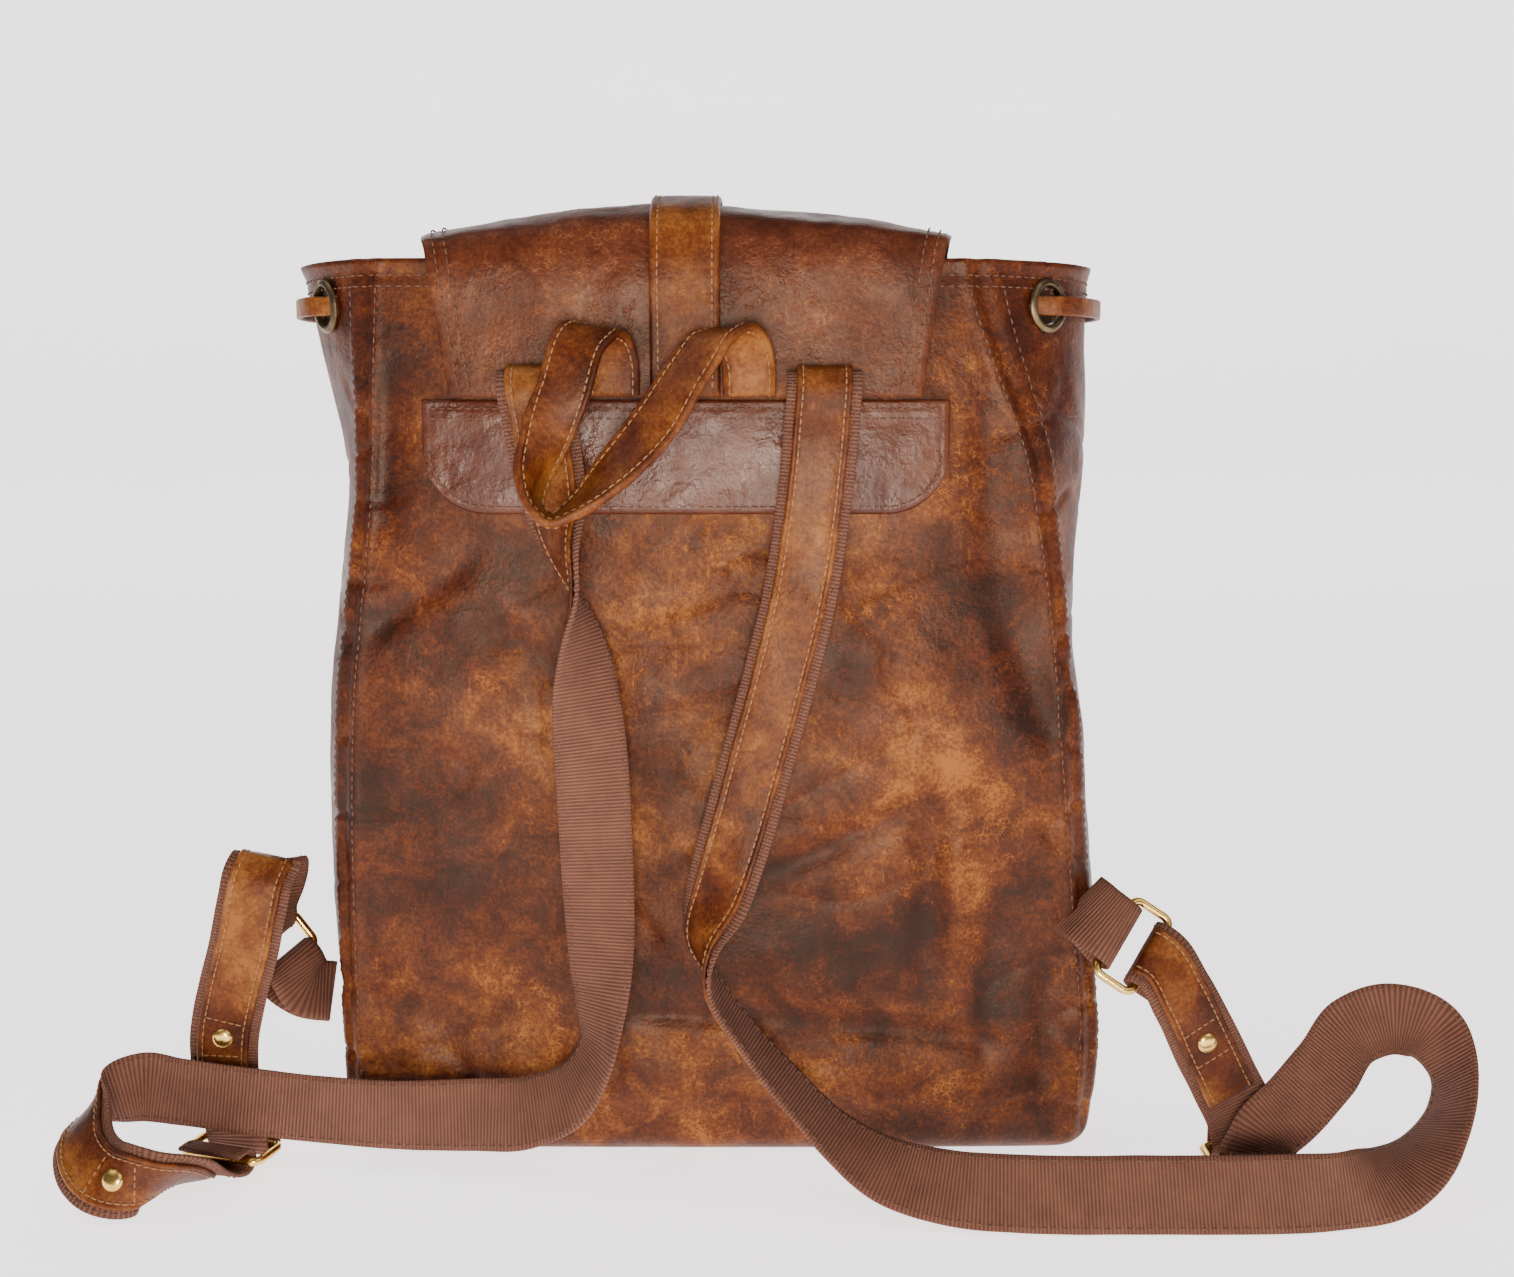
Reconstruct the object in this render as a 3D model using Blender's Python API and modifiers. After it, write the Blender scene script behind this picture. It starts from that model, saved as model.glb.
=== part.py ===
"""Leather drawstring backpack. Metres, +Z up, wearer's side towards -Y, origin on the floor under the middle of the base."""

from math import cos, pi, radians, sin, sqrt

import bmesh
import bpy
from mathutils import Matrix, Vector

# Body shell
RIM_HEIGHT = 0.385
LEATHER = 0.0024
BASE_ROUND = 0.012
SEAM_GAP = 0.0006
GUSSET_MARGIN = 0.0036
PANEL_BOTTOM = 0.0034
AIR = 0.0004

# Corner curves of the shell, as (height, x, y), at the outer face of the leather
BACK_LEFT = [
    (0.0, -0.148, -0.055),
    (0.10, -0.150, -0.056),
    (0.20, -0.146, -0.057),
    (0.27, -0.137, -0.057),
    (0.34, -0.132, -0.057),
    (0.385, -0.129, -0.056),
]
BACK_RIGHT = [
    (0.0, 0.172, -0.055),
    (0.06, 0.175, -0.056),
    (0.13, 0.167, -0.057),
    (0.25, 0.156, -0.057),
    (0.31, 0.144, -0.057),
    (0.35, 0.126, -0.056),
    (0.385, 0.115, -0.055),
]
FRONT_RIGHT = [
    (0.0, 0.168, 0.066),
    (0.12, 0.168, 0.068),
    (0.25, 0.160, 0.068),
    (0.385, 0.154, 0.064),
]
FRONT_LEFT = [
    (0.0, -0.150, 0.066),
    (0.12, -0.152, 0.068),
    (0.25, -0.148, 0.068),
    (0.385, -0.152, 0.064),
]
CORNERS = [BACK_LEFT, BACK_RIGHT, FRONT_RIGHT, FRONT_LEFT]
BULGE = [0.004, 0.012, 0.008, 0.014]
FLARE = [0.0, 0.034, 0.0, 0.024]
FLARE_START = [0.0, 0.220, 0.0, 0.285]

# Lining and base
LINING_OFFSET = -0.0048
LINING_THICKNESS = 0.0008
LINING_BOTTOM = 0.013
LINING_TOP = 0.335
BASE_THICKNESS = 0.0024
BASE_HALF_WIDTH = 0.150
BASE_HALF_DEPTH = 0.052
BOARD_THICKNESS = 0.002
BOARD_INSET = 0.009

# Yoke, flap and closure
YOKE_TOP = 0.3270
YOKE_DEPTH = 0.0465
YOKE_HALF_WIDTH = 0.108
YOKE_CORNER = 0.026
YOKE_THICKNESS = 0.002
FLAP_THICKNESS = 0.002
HINGE_Y = -0.0625
HINGE_Z = 0.3865
HINGE_GAP = 0.0022
STRAP_HINGE_GAP = 0.0090
FLAP_CORNER = 0.045
FLAP_PROFILE = [
    (-0.0625, 0.3275),
    (-0.0625, 0.350),
    (-0.0625, 0.3865),
    (-0.0585, 0.398),
    (-0.046, 0.405),
    (-0.010, 0.4085),
    (0.035, 0.4065),
    (0.072, 0.400),
    (0.091, 0.385),
    (0.0965, 0.355),
    (0.0970, 0.29),
    (0.0960, 0.215),
]
FLAP_HALF_WIDTH = [(0.0, 0.096), (0.09, 0.109), (0.20, 0.118), (0.30, 0.123), (0.40, 0.120)]
FLAP_ARCH = 0.60
STRAP_HALF_WIDTH = 0.0142
FLAP_STRAP_AIR = 0.0014
FLAP_ROWS = 30
SNAP_RADIUS = 0.009
SNAP_HEIGHT = 0.0035
SNAP_CENTRE_Z = 0.232
SNAP_AIR = 0.0009

# Straps
WEBBING_WIDTH = 0.030
WEBBING = 0.0015
STRAP_LEATHER_WIDTH = 0.0225
STRAP_LEATHER = 0.0018
STRAP_GAP = 0.0017
LEATHER_OFFSET = (WEBBING + STRAP_LEATHER) / 2 + STRAP_GAP
HANDLE_WIDTH = 0.0215
HANDLE_THICKNESS = 0.0034
THONG_WIDTH = 0.008
THONG_THICKNESS = 0.0022

# Hardware
WIRE_RADIUS = 0.0018
RING_HALF_WIDTH = 0.0186
RING_LENGTH = 0.018
RING_CORNER = 0.004
WRAP_RADIUS = 0.0046
EYELET_OUTER = 0.0115
EYELET_HOLE = 0.0078
EYELET_THICKNESS = 0.0012
EYELET_AIR = 0.0013
EYELET_Z = 0.366
STUD_RADIUS = 0.0048
STUD_HEIGHT = 0.0018
STUD_AIR = 0.0010

# Left shoulder strap: places along its middle line with the direction across it, from the yoke to its ring
LEFT_STRAP = [
    ((-0.060, -0.0672, 0.3285), (1, 0, 0)),
    ((-0.060, -0.0678, 0.3340), (1, 0, 0)),
    ((-0.060, -0.0713, 0.3380), (1, 0, 0)),
    ((-0.060, -0.0748, 0.3340), (1, 0, 0)),
    ((-0.058, -0.0755, 0.3200), (1, -0.05, 0)),
    ((-0.055, -0.0765, 0.3030), (1, -0.2, 0)),
    ((-0.052, -0.0780, 0.287), (0.91, -0.41, 0)),
    ((-0.049, -0.0810, 0.270), (0.60, -0.80, 0)),
    ((-0.043, -0.0830, 0.250), (0.10, -1.00, 0)),
    ((-0.041, -0.0830, 0.232), (-0.45, -0.89, 0)),
    ((-0.040, -0.0820, 0.207), (-0.86, -0.51, 0)),
    ((-0.038, -0.0800, 0.173), (-0.99, -0.15, 0)),
    ((-0.037, -0.0780, 0.139), (-1.00, 0, 0)),
    ((-0.036, -0.0780, 0.104), (-0.95, 0.30, 0)),
    ((-0.036, -0.0820, 0.078), (-0.75, 0.66, 0)),
    ((-0.038, -0.0840, 0.058), (-0.45, 0.85, 0.25)),
    ((-0.047, -0.0840, 0.042), (-0.25, 0.72, 0.62)),
    ((-0.066, -0.0800, 0.031), (-0.05, 0.50, 0.85)),
    ((-0.093, -0.0740, 0.027), (0, 0.25, 0.97)),
    ((-0.124, -0.0720, 0.026), (0, 0.05, 1.00)),
    ((-0.159, -0.0705, 0.028), (0, 0, 1.00)),
    ((-0.190, -0.0700, 0.0315), (-0.05, 0, 1.00)),
    ((-0.217, -0.0690, 0.0350), (-0.05, 0, 1.00)),
    ((-0.234, -0.0690, 0.0370), (0.25, 0.10, 0.96)),
    ((-0.247, -0.0760, 0.034), (0.52, 0.05, 0.85)),
    ((-0.250, -0.0880, 0.029), (0.74, 0.10, 0.66)),
    ((-0.245, -0.1020, 0.022), (0.72, 0.22, 0.65)),
    ((-0.232, -0.1120, 0.0170), (0.62, 0.28, 0.73)),
    ((-0.218, -0.1120, 0.0160), (0.60, 0.06, 0.79)),
    ((-0.2095, -0.1015, 0.0130), (0.76, -0.18, 0.62)),
    ((-0.2050, -0.0885, 0.0070), (0.92, -0.28, 0.25)),
    ((-0.2010, -0.0780, 0.0040), (0.95, -0.30, 0)),
]
LEFT_STRAP_BAR = (-0.2000, -0.0740, 0.0080)
LEFT_TAB_BAR = (-0.1945, -0.0568, 0.0080)
LEFT_SLIDER_ACROSS = (0.95, -0.30, 0)

# Right shoulder strap, from the yoke to its ring
RIGHT_STRAP = [
    ((0.056, -0.0672, 0.3285), (1, 0, 0)),
    ((0.056, -0.0678, 0.3340), (1, 0, 0)),
    ((0.056, -0.0713, 0.3380), (1, 0, 0)),
    ((0.056, -0.0748, 0.3340), (1, 0, 0)),
    ((0.055, -0.0755, 0.3200), (1, 0, 0)),
    ((0.054, -0.0758, 0.307), (1, 0, 0)),
    ((0.051, -0.0750, 0.279), (1, 0, 0)),
    ((0.046, -0.0760, 0.247), (1, -0.10, 0)),
    ((0.038, -0.0765, 0.214), (1, -0.10, 0)),
    ((0.029, -0.0770, 0.181), (1, -0.10, 0)),
    ((0.020, -0.0790, 0.148), (0.98, -0.20, -0.10)),
    ((0.013, -0.0820, 0.125), (0.89, -0.45, -0.10)),
    ((0.007, -0.0850, 0.107), (0.51, -0.86, 0)),
    ((0.010, -0.0870, 0.092), (0, -1.00, 0)),
    ((0.026, -0.0910, 0.067), (-0.10, -0.99, -0.10)),
    ((0.043, -0.0960, 0.048), (-0.15, -0.97, -0.19)),
    ((0.062, -0.1020, 0.030), (-0.10, -0.93, -0.34)),
    ((0.083, -0.1090, 0.0185), (0, -0.80, -0.60)),
    ((0.107, -0.1150, 0.0145), (0, -0.65, -0.76)),
    ((0.134, -0.1190, 0.0140), (0, -0.50, -0.87)),
    ((0.164, -0.1210, 0.0145), (0, -0.45, -0.89)),
    ((0.188, -0.1220, 0.0150), (0, -0.45, -0.89)),
    ((0.216, -0.1220, 0.0150), (0, -0.45, -0.89)),
    ((0.244, -0.1210, 0.0150), (0.05, -0.40, -0.92)),
    ((0.265, -0.1180, 0.0150), (0.25, -0.25, -0.91)),
    ((0.286, -0.1100, 0.0160), (0.12, -0.82, -0.55)),
    ((0.305, -0.0980, 0.0240), (0.16, -0.98, -0.05)),
    ((0.319, -0.0840, 0.038), (0.26, -0.86, 0.42)),
    ((0.323, -0.0720, 0.050), (0.30, -0.58, 0.75)),
    ((0.317, -0.0640, 0.060), (0.26, -0.10, 0.95)),
    ((0.303, -0.0600, 0.064), (0.05, 0.26, 0.95)),
    ((0.286, -0.0600, 0.059), (-0.30, 0.30, 0.90)),
    ((0.271, -0.0690, 0.045), (-0.65, 0.20, 0.70)),
    ((0.256, -0.0740, 0.030), (-0.85, 0.12, 0.45)),
    ((0.2435, -0.0762, 0.0180), (-0.98, 0.03, 0.12)),
]
RIGHT_STRAP_BAR = (0.2400, -0.0800, 0.0075)
RIGHT_TAB_BAR = (0.2400, -0.0620, 0.0075)
RIGHT_SLIDER_ACROSS = (1, 0, 0)

# Short lower straps, from their ring at the bag's side down to the ring of the shoulder strap
LEFT_TAB = [
    ((-0.1845, -0.0405, 0.1040), (0.55, 0.76, 0.25)),
    ((-0.1815, -0.0420, 0.1165), (0.72, 0.60, 0.12)),
    ((-0.1800, -0.0460, 0.1265), (0.86, 0.40, 0.00)),
    ((-0.1805, -0.0525, 0.1320), (0.93, 0.18, -0.14)),
    ((-0.1825, -0.0590, 0.1275), (0.96, 0.03, -0.25)),
    ((-0.1850, -0.0625, 0.1150), (0.95, 0, -0.32)),
    ((-0.1890, -0.0620, 0.0980), (0.94, 0, -0.35)),
    ((-0.1960, -0.0585, 0.0760), (0.94, 0, -0.35)),
    ((-0.2015, -0.0555, 0.0540), (0.94, 0, -0.33)),
    ((-0.2015, -0.0560, 0.0350), (0.95, -0.12, -0.20)),
    ((-0.1975, -0.0600, 0.0200), (0.95, -0.27, -0.05)),
]
RIGHT_TAB = [
    ((0.2070, -0.0765, 0.0800), (0.66, 0.30, 0.64)),
    ((0.2170, -0.0735, 0.0610), (0.80, 0.16, 0.52)),
    ((0.2275, -0.0690, 0.0410), (0.88, 0.10, 0.42)),
    ((0.2370, -0.0658, 0.0220), (0.97, 0.03, 0.15)),
]
TAB_TAIL = 0.010
END_TAIL = 0.007
LEFT_ANCHOR_BAR = (-0.1775, -0.0385, 0.0800)
LEFT_ANCHOR_ACROSS = (0.45, 0.80, 0.30)
LEFT_ANCHOR_ALONG = (-0.55, 0.05, 0.75)
LEFT_ANCHOR_ROOT = (-0.1690, -0.0400, 0.0710)
RIGHT_ANCHOR_BAR = (0.1800, -0.0660, 0.1040)
RIGHT_ANCHOR_ACROSS = (0.55, 0.46, 0.69)
RIGHT_ANCHOR_ALONG = (0.62, -0.35, -0.74)
RIGHT_ANCHOR_ROOT = (0.1715, -0.0625, 0.1110)

# Grab handle, from its left end under the yoke's top edge to its right end
HANDLE = [
    ((-0.029, -0.0672, 0.3288), (1, 0, 0)),
    ((-0.029, -0.0682, 0.3400), (1, 0, 0.05)),
    ((-0.0315, -0.0740, 0.3505), (1, -0.05, -0.12)),
    ((-0.0345, -0.0800, 0.3535), (0.99, -0.07, -0.20)),
    ((-0.0385, -0.0870, 0.3515), (0.95, -0.10, -0.30)),
    ((-0.046, -0.0950, 0.3300), (0.92, -0.05, -0.38)),
    ((-0.0530, -0.0970, 0.3120), (0.78, 0.52, -0.34)),
    ((-0.0580, -0.0985, 0.2965), (0.45, 0.85, -0.25)),
    ((-0.0575, -0.1005, 0.2865), (0.15, 0.98, -0.10)),
    ((-0.0510, -0.1020, 0.2810), (0, 1.00, 0.05)),
    ((-0.0410, -0.1020, 0.2860), (-0.10, 0.95, 0.30)),
    ((-0.0270, -0.1005, 0.2990), (-0.32, 0.70, 0.60)),
    ((-0.0105, -0.0965, 0.3180), (-0.52, 0.50, 0.70)),
    ((0.003, -0.0910, 0.3390), (-0.70, 0.60, 0.35)),
    ((0.0125, -0.0860, 0.3515), (-0.88, 0.42, -0.10)),
    ((0.0180, -0.0800, 0.3535), (-0.94, 0.30, -0.12)),
    ((0.0225, -0.0740, 0.3505), (-1, 0.15, -0.10)),
    ((0.0255, -0.0690, 0.3420), (-1, 0, 0)),
    ((0.026, -0.0672, 0.3288), (-1, 0, 0)),
]

HANDLE_HINGE = (0, -0.0800, 0.3535)

COLOURS = {
    "dark_leather": ((0.13, 0.045, 0.018, 1), 0.45, 0.0),
    "tan_leather": ((0.32, 0.13, 0.045, 1), 0.5, 0.0),
    "webbing": ((0.20, 0.09, 0.05, 1), 0.85, 0.0),
    "lining": ((0.28, 0.22, 0.15, 1), 0.9, 0.0),
    "board": ((0.25, 0.2, 0.15, 1), 0.9, 0.0),
    "brass": ((0.65, 0.45, 0.14, 1), 0.3, 1.0),
    "antique_brass": ((0.25, 0.17, 0.08, 1), 0.45, 1.0),
}


def clear_scene():
    for thing in list(bpy.data.objects):
        bpy.data.objects.remove(thing)


def new_collection(name):
    collection = bpy.data.collections.new(name)
    bpy.context.scene.collection.children.link(collection)
    return collection


def make_material(name):
    colour, roughness, metallic = COLOURS[name]
    material = bpy.data.materials.new(name)
    material.use_nodes = True
    shader = material.node_tree.nodes["Principled BSDF"]
    shader.inputs["Base Color"].default_value = colour
    shader.inputs["Roughness"].default_value = roughness
    shader.inputs["Metallic"].default_value = metallic
    return material


clear_scene()
PARTS = new_collection("leather_backpack")
CUTTERS = new_collection("cutters")
MATERIALS = {name: make_material(name) for name in COLOURS}


def add_object(name, mesh, material, collection=PARTS):
    thing = bpy.data.objects.new(name, mesh)
    collection.objects.link(thing)
    mesh.materials.append(MATERIALS[material])
    return thing


def smoothly(points, t, spacing=None):
    """A smooth curve through tuples, read at t from 0 to len(points) - 1.

    Its tangents allow for uneven spacing, so it does not overshoot where points crowd together.
    """
    last = len(points) - 1
    i = min(max(int(t), 0), last - 1)
    f = t - i
    a, b, c, d = (Vector(points[min(max(k, 0), last)]) for k in (i - 1, i, i + 1, i + 2))
    if spacing is None:
        before, here, after = ((q - p).length or 1.0 for p, q in ((a, b), (b, c), (c, d)))
    else:
        before, here, after = (spacing[min(max(k, 0), last - 1)] for k in (i - 1, i, i + 1))
    start = ((c - b) / here * before + (b - a) / before * here) / (before + here) if i > 0 else (c - b) / here
    end = ((d - c) / after * here + (c - b) / here * after) / (here + after) if i < last - 1 else (c - b) / here
    return (
        (2 * f**3 - 3 * f**2 + 1) * b
        + (f**3 - 2 * f**2 + f) * here * start
        + (3 * f**2 - 2 * f**3) * c
        + (f**3 - f**2) * here * end
    )


def read_at(table, x):
    """Linear reading of a table of (x, value, ...) rows."""
    for low, high in zip(table, table[1:]):
        if x <= high[0]:
            break
    f = min(max((x - low[0]) / (high[0] - low[0]), 0), 1)
    return Vector(low[1:]).lerp(Vector(high[1:]), f)


def eased(table, x):
    """Reading of a table of (x, value, ...) rows, smoothed by averaging around x."""
    reach = 0.02
    rows = [(x0, *values, *([0] * (2 - len(values)))) for x0, *values in table]
    readings = [read_at(rows, x + k * reach) for k in (-1, -0.5, 0, 0.5, 1)]
    return sum(readings, Vector((0, 0))) / len(readings)


def base_inset(z):
    below = max(BASE_ROUND - z, 0)
    return BASE_ROUND - sqrt(BASE_ROUND**2 - below**2)


def corner(k, z):
    """Corner k of the shell at height z, drawn in near the floor where the base is rounded."""
    place = eased(CORNERS[k % 4], z)
    inset = base_inset(z)
    return place - Vector(((-1, 1, 1, -1)[k % 4], (-1, -1, 1, 1)[k % 4])) * inset


def shell_outline(s, z):
    """The shell's outer face at height z. s runs 0-1 over the back, 1-2 right gusset, 2-3 front, 3-4 left gusset."""
    side = int(s) % 4
    t = s - int(s)
    start = corner(side, z)
    end = corner(side + 1, z)
    chord = (end - start).normalized()
    outward = Vector((chord.y, -chord.x))
    belly = BULGE[side] * sin(pi * min(max(0.15 + 0.7 * z / RIM_HEIGHT, 0), 1))
    flare = FLARE[side] * max((z - FLARE_START[side]) / (RIM_HEIGHT - FLARE_START[side]), 0) ** 1.3
    fullness = 4 * t * (1 - t) * (belly + flare)
    return start.lerp(end, t) + outward * fullness


def shell_point(s, z, offset=0.0):
    step = 0.01
    here = shell_outline(s, z)
    side = int(s)
    before = shell_outline(max(s - step, side), z)
    after = shell_outline(min(s + step, side + 0.9999), z)
    along = (after - before).normalized()
    outward = Vector((along.y, -along.x))
    spot = here + outward * offset
    return Vector((spot.x, spot.y, z))


def side_length(side, z):
    return (corner(side + 1, z) - corner(side, z)).length


def mapped_sheet(name, columns, rows, shape, thickness, material, side=-1.0):
    """A grid whose points go where shape(u, v) says, u and v from 0 to 1, thickened by Solidify."""
    work = bmesh.new()
    bmesh.ops.create_grid(work, x_segments=columns, y_segments=rows, size=0.5)
    for vertex in work.verts:
        vertex.co = shape(vertex.co.x + 0.5, vertex.co.y + 0.5)
    bmesh.ops.remove_doubles(work, verts=work.verts, dist=0.00001)
    mesh = bpy.data.meshes.new(name)
    work.to_mesh(mesh)
    work.free()
    mesh.shade_smooth()
    sheet = add_object(name, mesh, material)
    solidify = sheet.modifiers.new("thickness", "SOLIDIFY")
    solidify.thickness = thickness
    solidify.offset = side
    solidify.use_even_offset = True
    return sheet


def panel_height(row, rows):
    """Heights of the panels' rows: two close rows where the base is rounded, then even ones."""
    low = [PANEL_BOTTOM, 0.0070, BASE_ROUND]
    if row <= 2:
        i = min(int(row), 1)
        return low[i] + (low[i + 1] - low[i]) * (row - i)
    return BASE_ROUND + (RIM_HEIGHT - BASE_ROUND) * (row - 2) / (rows - 2)


def shell_panel(name, side, margin, columns, rows):
    def shape(u, v):
        z = panel_height(v * rows, rows)
        cut = margin / side_length(side, z)
        return shell_point(side + cut + (0.9999 - 2 * cut) * u, z)

    return mapped_sheet(name, columns, rows, shape, LEATHER, "dark_leather")


def make_shell():
    panels = {
        "back_panel": shell_panel("back_panel", 0, SEAM_GAP, 8, 12),
        "right_gusset": shell_panel("right_gusset", 1, GUSSET_MARGIN, 6, 12),
        "front_panel": shell_panel("front_panel", 2, SEAM_GAP, 8, 10),
        "left_gusset": shell_panel("left_gusset", 3, GUSSET_MARGIN, 6, 12),
    }
    return panels


def flat_plate(name, inset, low, thickness, material):
    """A plate with the outline of the shell at the floor, drawn in by inset."""
    outline = bpy.data.curves.new(name, "CURVE")
    outline.dimensions = "2D"
    outline.fill_mode = "BOTH"
    outline.extrude = thickness / 2
    outline.resolution_u = 1
    outline.render_resolution_u = 0
    steps = 24
    spline = outline.splines.new("POLY")
    spline.points.add(steps - 1)
    for i in range(steps):
        spot = shell_point(4 * i / steps, PANEL_BOTTOM)
        inward_x = 1 - inset / BASE_HALF_WIDTH
        inward_y = 1 - inset / BASE_HALF_DEPTH
        spline.points[i].co = (spot.x * inward_x, spot.y * inward_y, 0, 1)
    spline.use_cyclic_u = True
    plate = bpy.data.objects.new(name, outline)
    PARTS.objects.link(plate)
    outline.materials.append(MATERIALS[material])
    plate.location.z = low + thickness / 2
    return plate


def make_base():
    flat_plate("base_panel", 0.0, 0.0, BASE_THICKNESS, "dark_leather")
    flat_plate("base_board", BOARD_INSET, BASE_THICKNESS + AIR, BOARD_THICKNESS, "board")


def make_lining():
    def shape(u, v):
        z = LINING_BOTTOM + (LINING_TOP - LINING_BOTTOM) * v
        s = 4 * u % 4
        cut = 1.8 * LINING_OFFSET / side_length(int(s), z)
        inside = int(s) - cut + (1 + 2 * cut) * (s - int(s))
        return shell_point(inside, z, LINING_OFFSET)

    mapped_sheet("lining", 36, 9, shape, LINING_THICKNESS, "lining")


def make_yoke():
    """The patch: a straight top, and lower corners rounded off."""

    def shape(u, v):
        x = (2 * u - 1) * YOKE_HALF_WIDTH
        from_corner = max(abs(x) - (YOKE_HALF_WIDTH - YOKE_CORNER), 0)
        lift = YOKE_CORNER - sqrt(max(YOKE_CORNER**2 - from_corner**2, 0))
        z = YOKE_TOP - YOKE_DEPTH + lift + v * (YOKE_DEPTH - lift)
        return panel_front(x, z, AIR + YOKE_THICKNESS)

    mapped_sheet("yoke_patch", 24, 3, shape, YOKE_THICKNESS, "dark_leather")


def panel_front(x, z, offset):
    """The point of the back panel's outer face at x and z, moved out by offset."""
    left, right = eased(BACK_LEFT, z), eased(BACK_RIGHT, z)
    s = (x - left.x) / (right.x - left.x)
    spot = shell_point(min(max(s, 0.001), 0.999), z, offset)
    return Vector((x, spot.y, z))


def flap_length_points():
    """Arc length at each point of the flap's profile."""
    lengths = [0.0]
    for here, there in zip(FLAP_PROFILE, FLAP_PROFILE[1:]):
        lengths.append(lengths[-1] + (Vector(there) - Vector(here)).length)
    return lengths


FLAP_LENGTHS = flap_length_points()
FLAP_END = FLAP_LENGTHS[-1]
FLAP_HINGE = FLAP_LENGTHS[2]


def flap_point(across, along, offset=0.0):
    """The flap's outer face at a distance across from its middle and along from the yoke."""
    for i in range(len(FLAP_LENGTHS) - 1):
        if along <= FLAP_LENGTHS[i + 1]:
            break
    t = i + (along - FLAP_LENGTHS[i]) / (FLAP_LENGTHS[i + 1] - FLAP_LENGTHS[i])
    spot = smoothly(FLAP_PROFILE, t)
    ahead = smoothly(FLAP_PROFILE, min(t + 0.02, len(FLAP_PROFILE) - 1.0))
    behind = smoothly(FLAP_PROFILE, max(t - 0.02, 0.0))
    run = (ahead - behind).normalized()
    outward = Vector((0, -run.y, run.x))
    drop = FLAP_ARCH * max(spot.y - HINGE_Z, 0) * (across / 0.11) ** 2
    return Vector((across, spot.x, spot.y - drop)) + outward * offset


def flap_sheet(name, start, end, half_width, rows, columns, thickness, material, offset, corner=0.0):
    def shape(u, v):
        side = 2 * u - 1
        along = start + (end - start) * v
        across = side * half_width(along)
        if corner:
            short = corner - sqrt(max(corner**2 - max(abs(across) - (0.12 - corner), 0) ** 2, 0))
            along = start + (end - short - start) * v
        return flap_point(across, along, offset)

    return mapped_sheet(name, columns, rows, shape, thickness, material)


def flap_width(along):
    return read_at([(x, w, 0) for x, w in FLAP_HALF_WIDTH], along).x


def strap_width(_along):
    return STRAP_HALF_WIDTH


def hinge_axis(name, place, pieces):
    """An empty on a hinge axis that carries the pieces that turn about it."""
    axis = bpy.data.objects.new(name, None)
    axis.location = place
    PARTS.objects.link(axis)
    for piece in pieces:
        piece.parent = axis
        piece.matrix_parent_inverse = Matrix.Translation(axis.location).inverted()


def make_flap():
    strap_offset = FLAP_STRAP_AIR + FLAP_THICKNESS
    root_end, flap_start = FLAP_HINGE - HINGE_GAP / 2, FLAP_HINGE + HINGE_GAP / 2
    strap_root_end, strap_start = FLAP_HINGE - STRAP_HINGE_GAP / 2, FLAP_HINGE + STRAP_HINGE_GAP / 2
    flap_sheet("flap_root", 0.0006, root_end, flap_width, 4, 8, FLAP_THICKNESS, "dark_leather", 0)
    flap_sheet(
        "flap_strap_root", 0.0012, strap_root_end, strap_width, 4, 2, FLAP_THICKNESS, "tan_leather", strap_offset
    )
    flap = flap_sheet(
        "flap", flap_start, FLAP_END, flap_width, FLAP_ROWS, 12, FLAP_THICKNESS, "dark_leather", 0, FLAP_CORNER
    )
    strap = flap_sheet(
        "flap_strap", strap_start, FLAP_END, strap_width, FLAP_ROWS, 2, FLAP_THICKNESS, "tan_leather", strap_offset
    )
    inner_face = FLAP_PROFILE[-1][0] - FLAP_THICKNESS
    cap = disc("snap_cap", SNAP_CENTRE_Z, inner_face - SNAP_AIR - SNAP_HEIGHT, SNAP_HEIGHT)
    hinge_axis("flap_hinge_axis", (0, HINGE_Y, HINGE_Z), [flap, strap, cap])
    front = shell_point(2.5, SNAP_CENTRE_Z).y
    disc("snap_base", SNAP_CENTRE_Z, front + AIR, SNAP_HEIGHT)


def disc(name, z, back_y, height):
    """A round closure half facing +Y, its back face at back_y."""
    work = bmesh.new()
    bmesh.ops.create_cone(
        work, cap_ends=True, segments=20, radius1=SNAP_RADIUS, radius2=SNAP_RADIUS * 0.85, depth=height
    )
    bmesh.ops.rotate(work, verts=work.verts, cent=(0, 0, 0), matrix=Matrix.Rotation(radians(-90), 3, "X"))
    bmesh.ops.translate(work, verts=work.verts, vec=(0, back_y + height / 2, z))
    mesh = bpy.data.meshes.new(name)
    work.to_mesh(mesh)
    work.free()
    return add_object(name, mesh, "antique_brass")


def strap_frame(stations, t):
    """Middle, direction across and face normal of a strap at t from 0 to 1."""
    places = [place for place, _ in stations]
    acrosses = [Vector(across).normalized() for _, across in stations]
    last = len(stations) - 1
    spot = smoothly(places, t * last)
    run = (smoothly(places, min(t * last + 0.03, last)) - smoothly(places, max(t * last - 0.03, 0))).normalized()
    spacing = [(Vector(there) - Vector(here)).length for here, there in zip(places, places[1:])]
    across = smoothly(acrosses, t * last, spacing)
    across = (across - run * across.dot(run)).normalized()
    return spot, across, run.cross(across)


def ribbon(name, stations, width, thickness, material, segments, offset=0.0, start=0.0, end=1.0, columns=1):
    def shape(u, v):
        spot, across, normal = strap_frame(stations, start + (end - start) * v)
        return spot + across * width * (u - 0.5) + normal * offset

    strap = mapped_sheet(name, columns, segments, shape, thickness, material, side=0.0)
    strap.modifiers["thickness"].use_even_offset = False
    return strap


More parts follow.
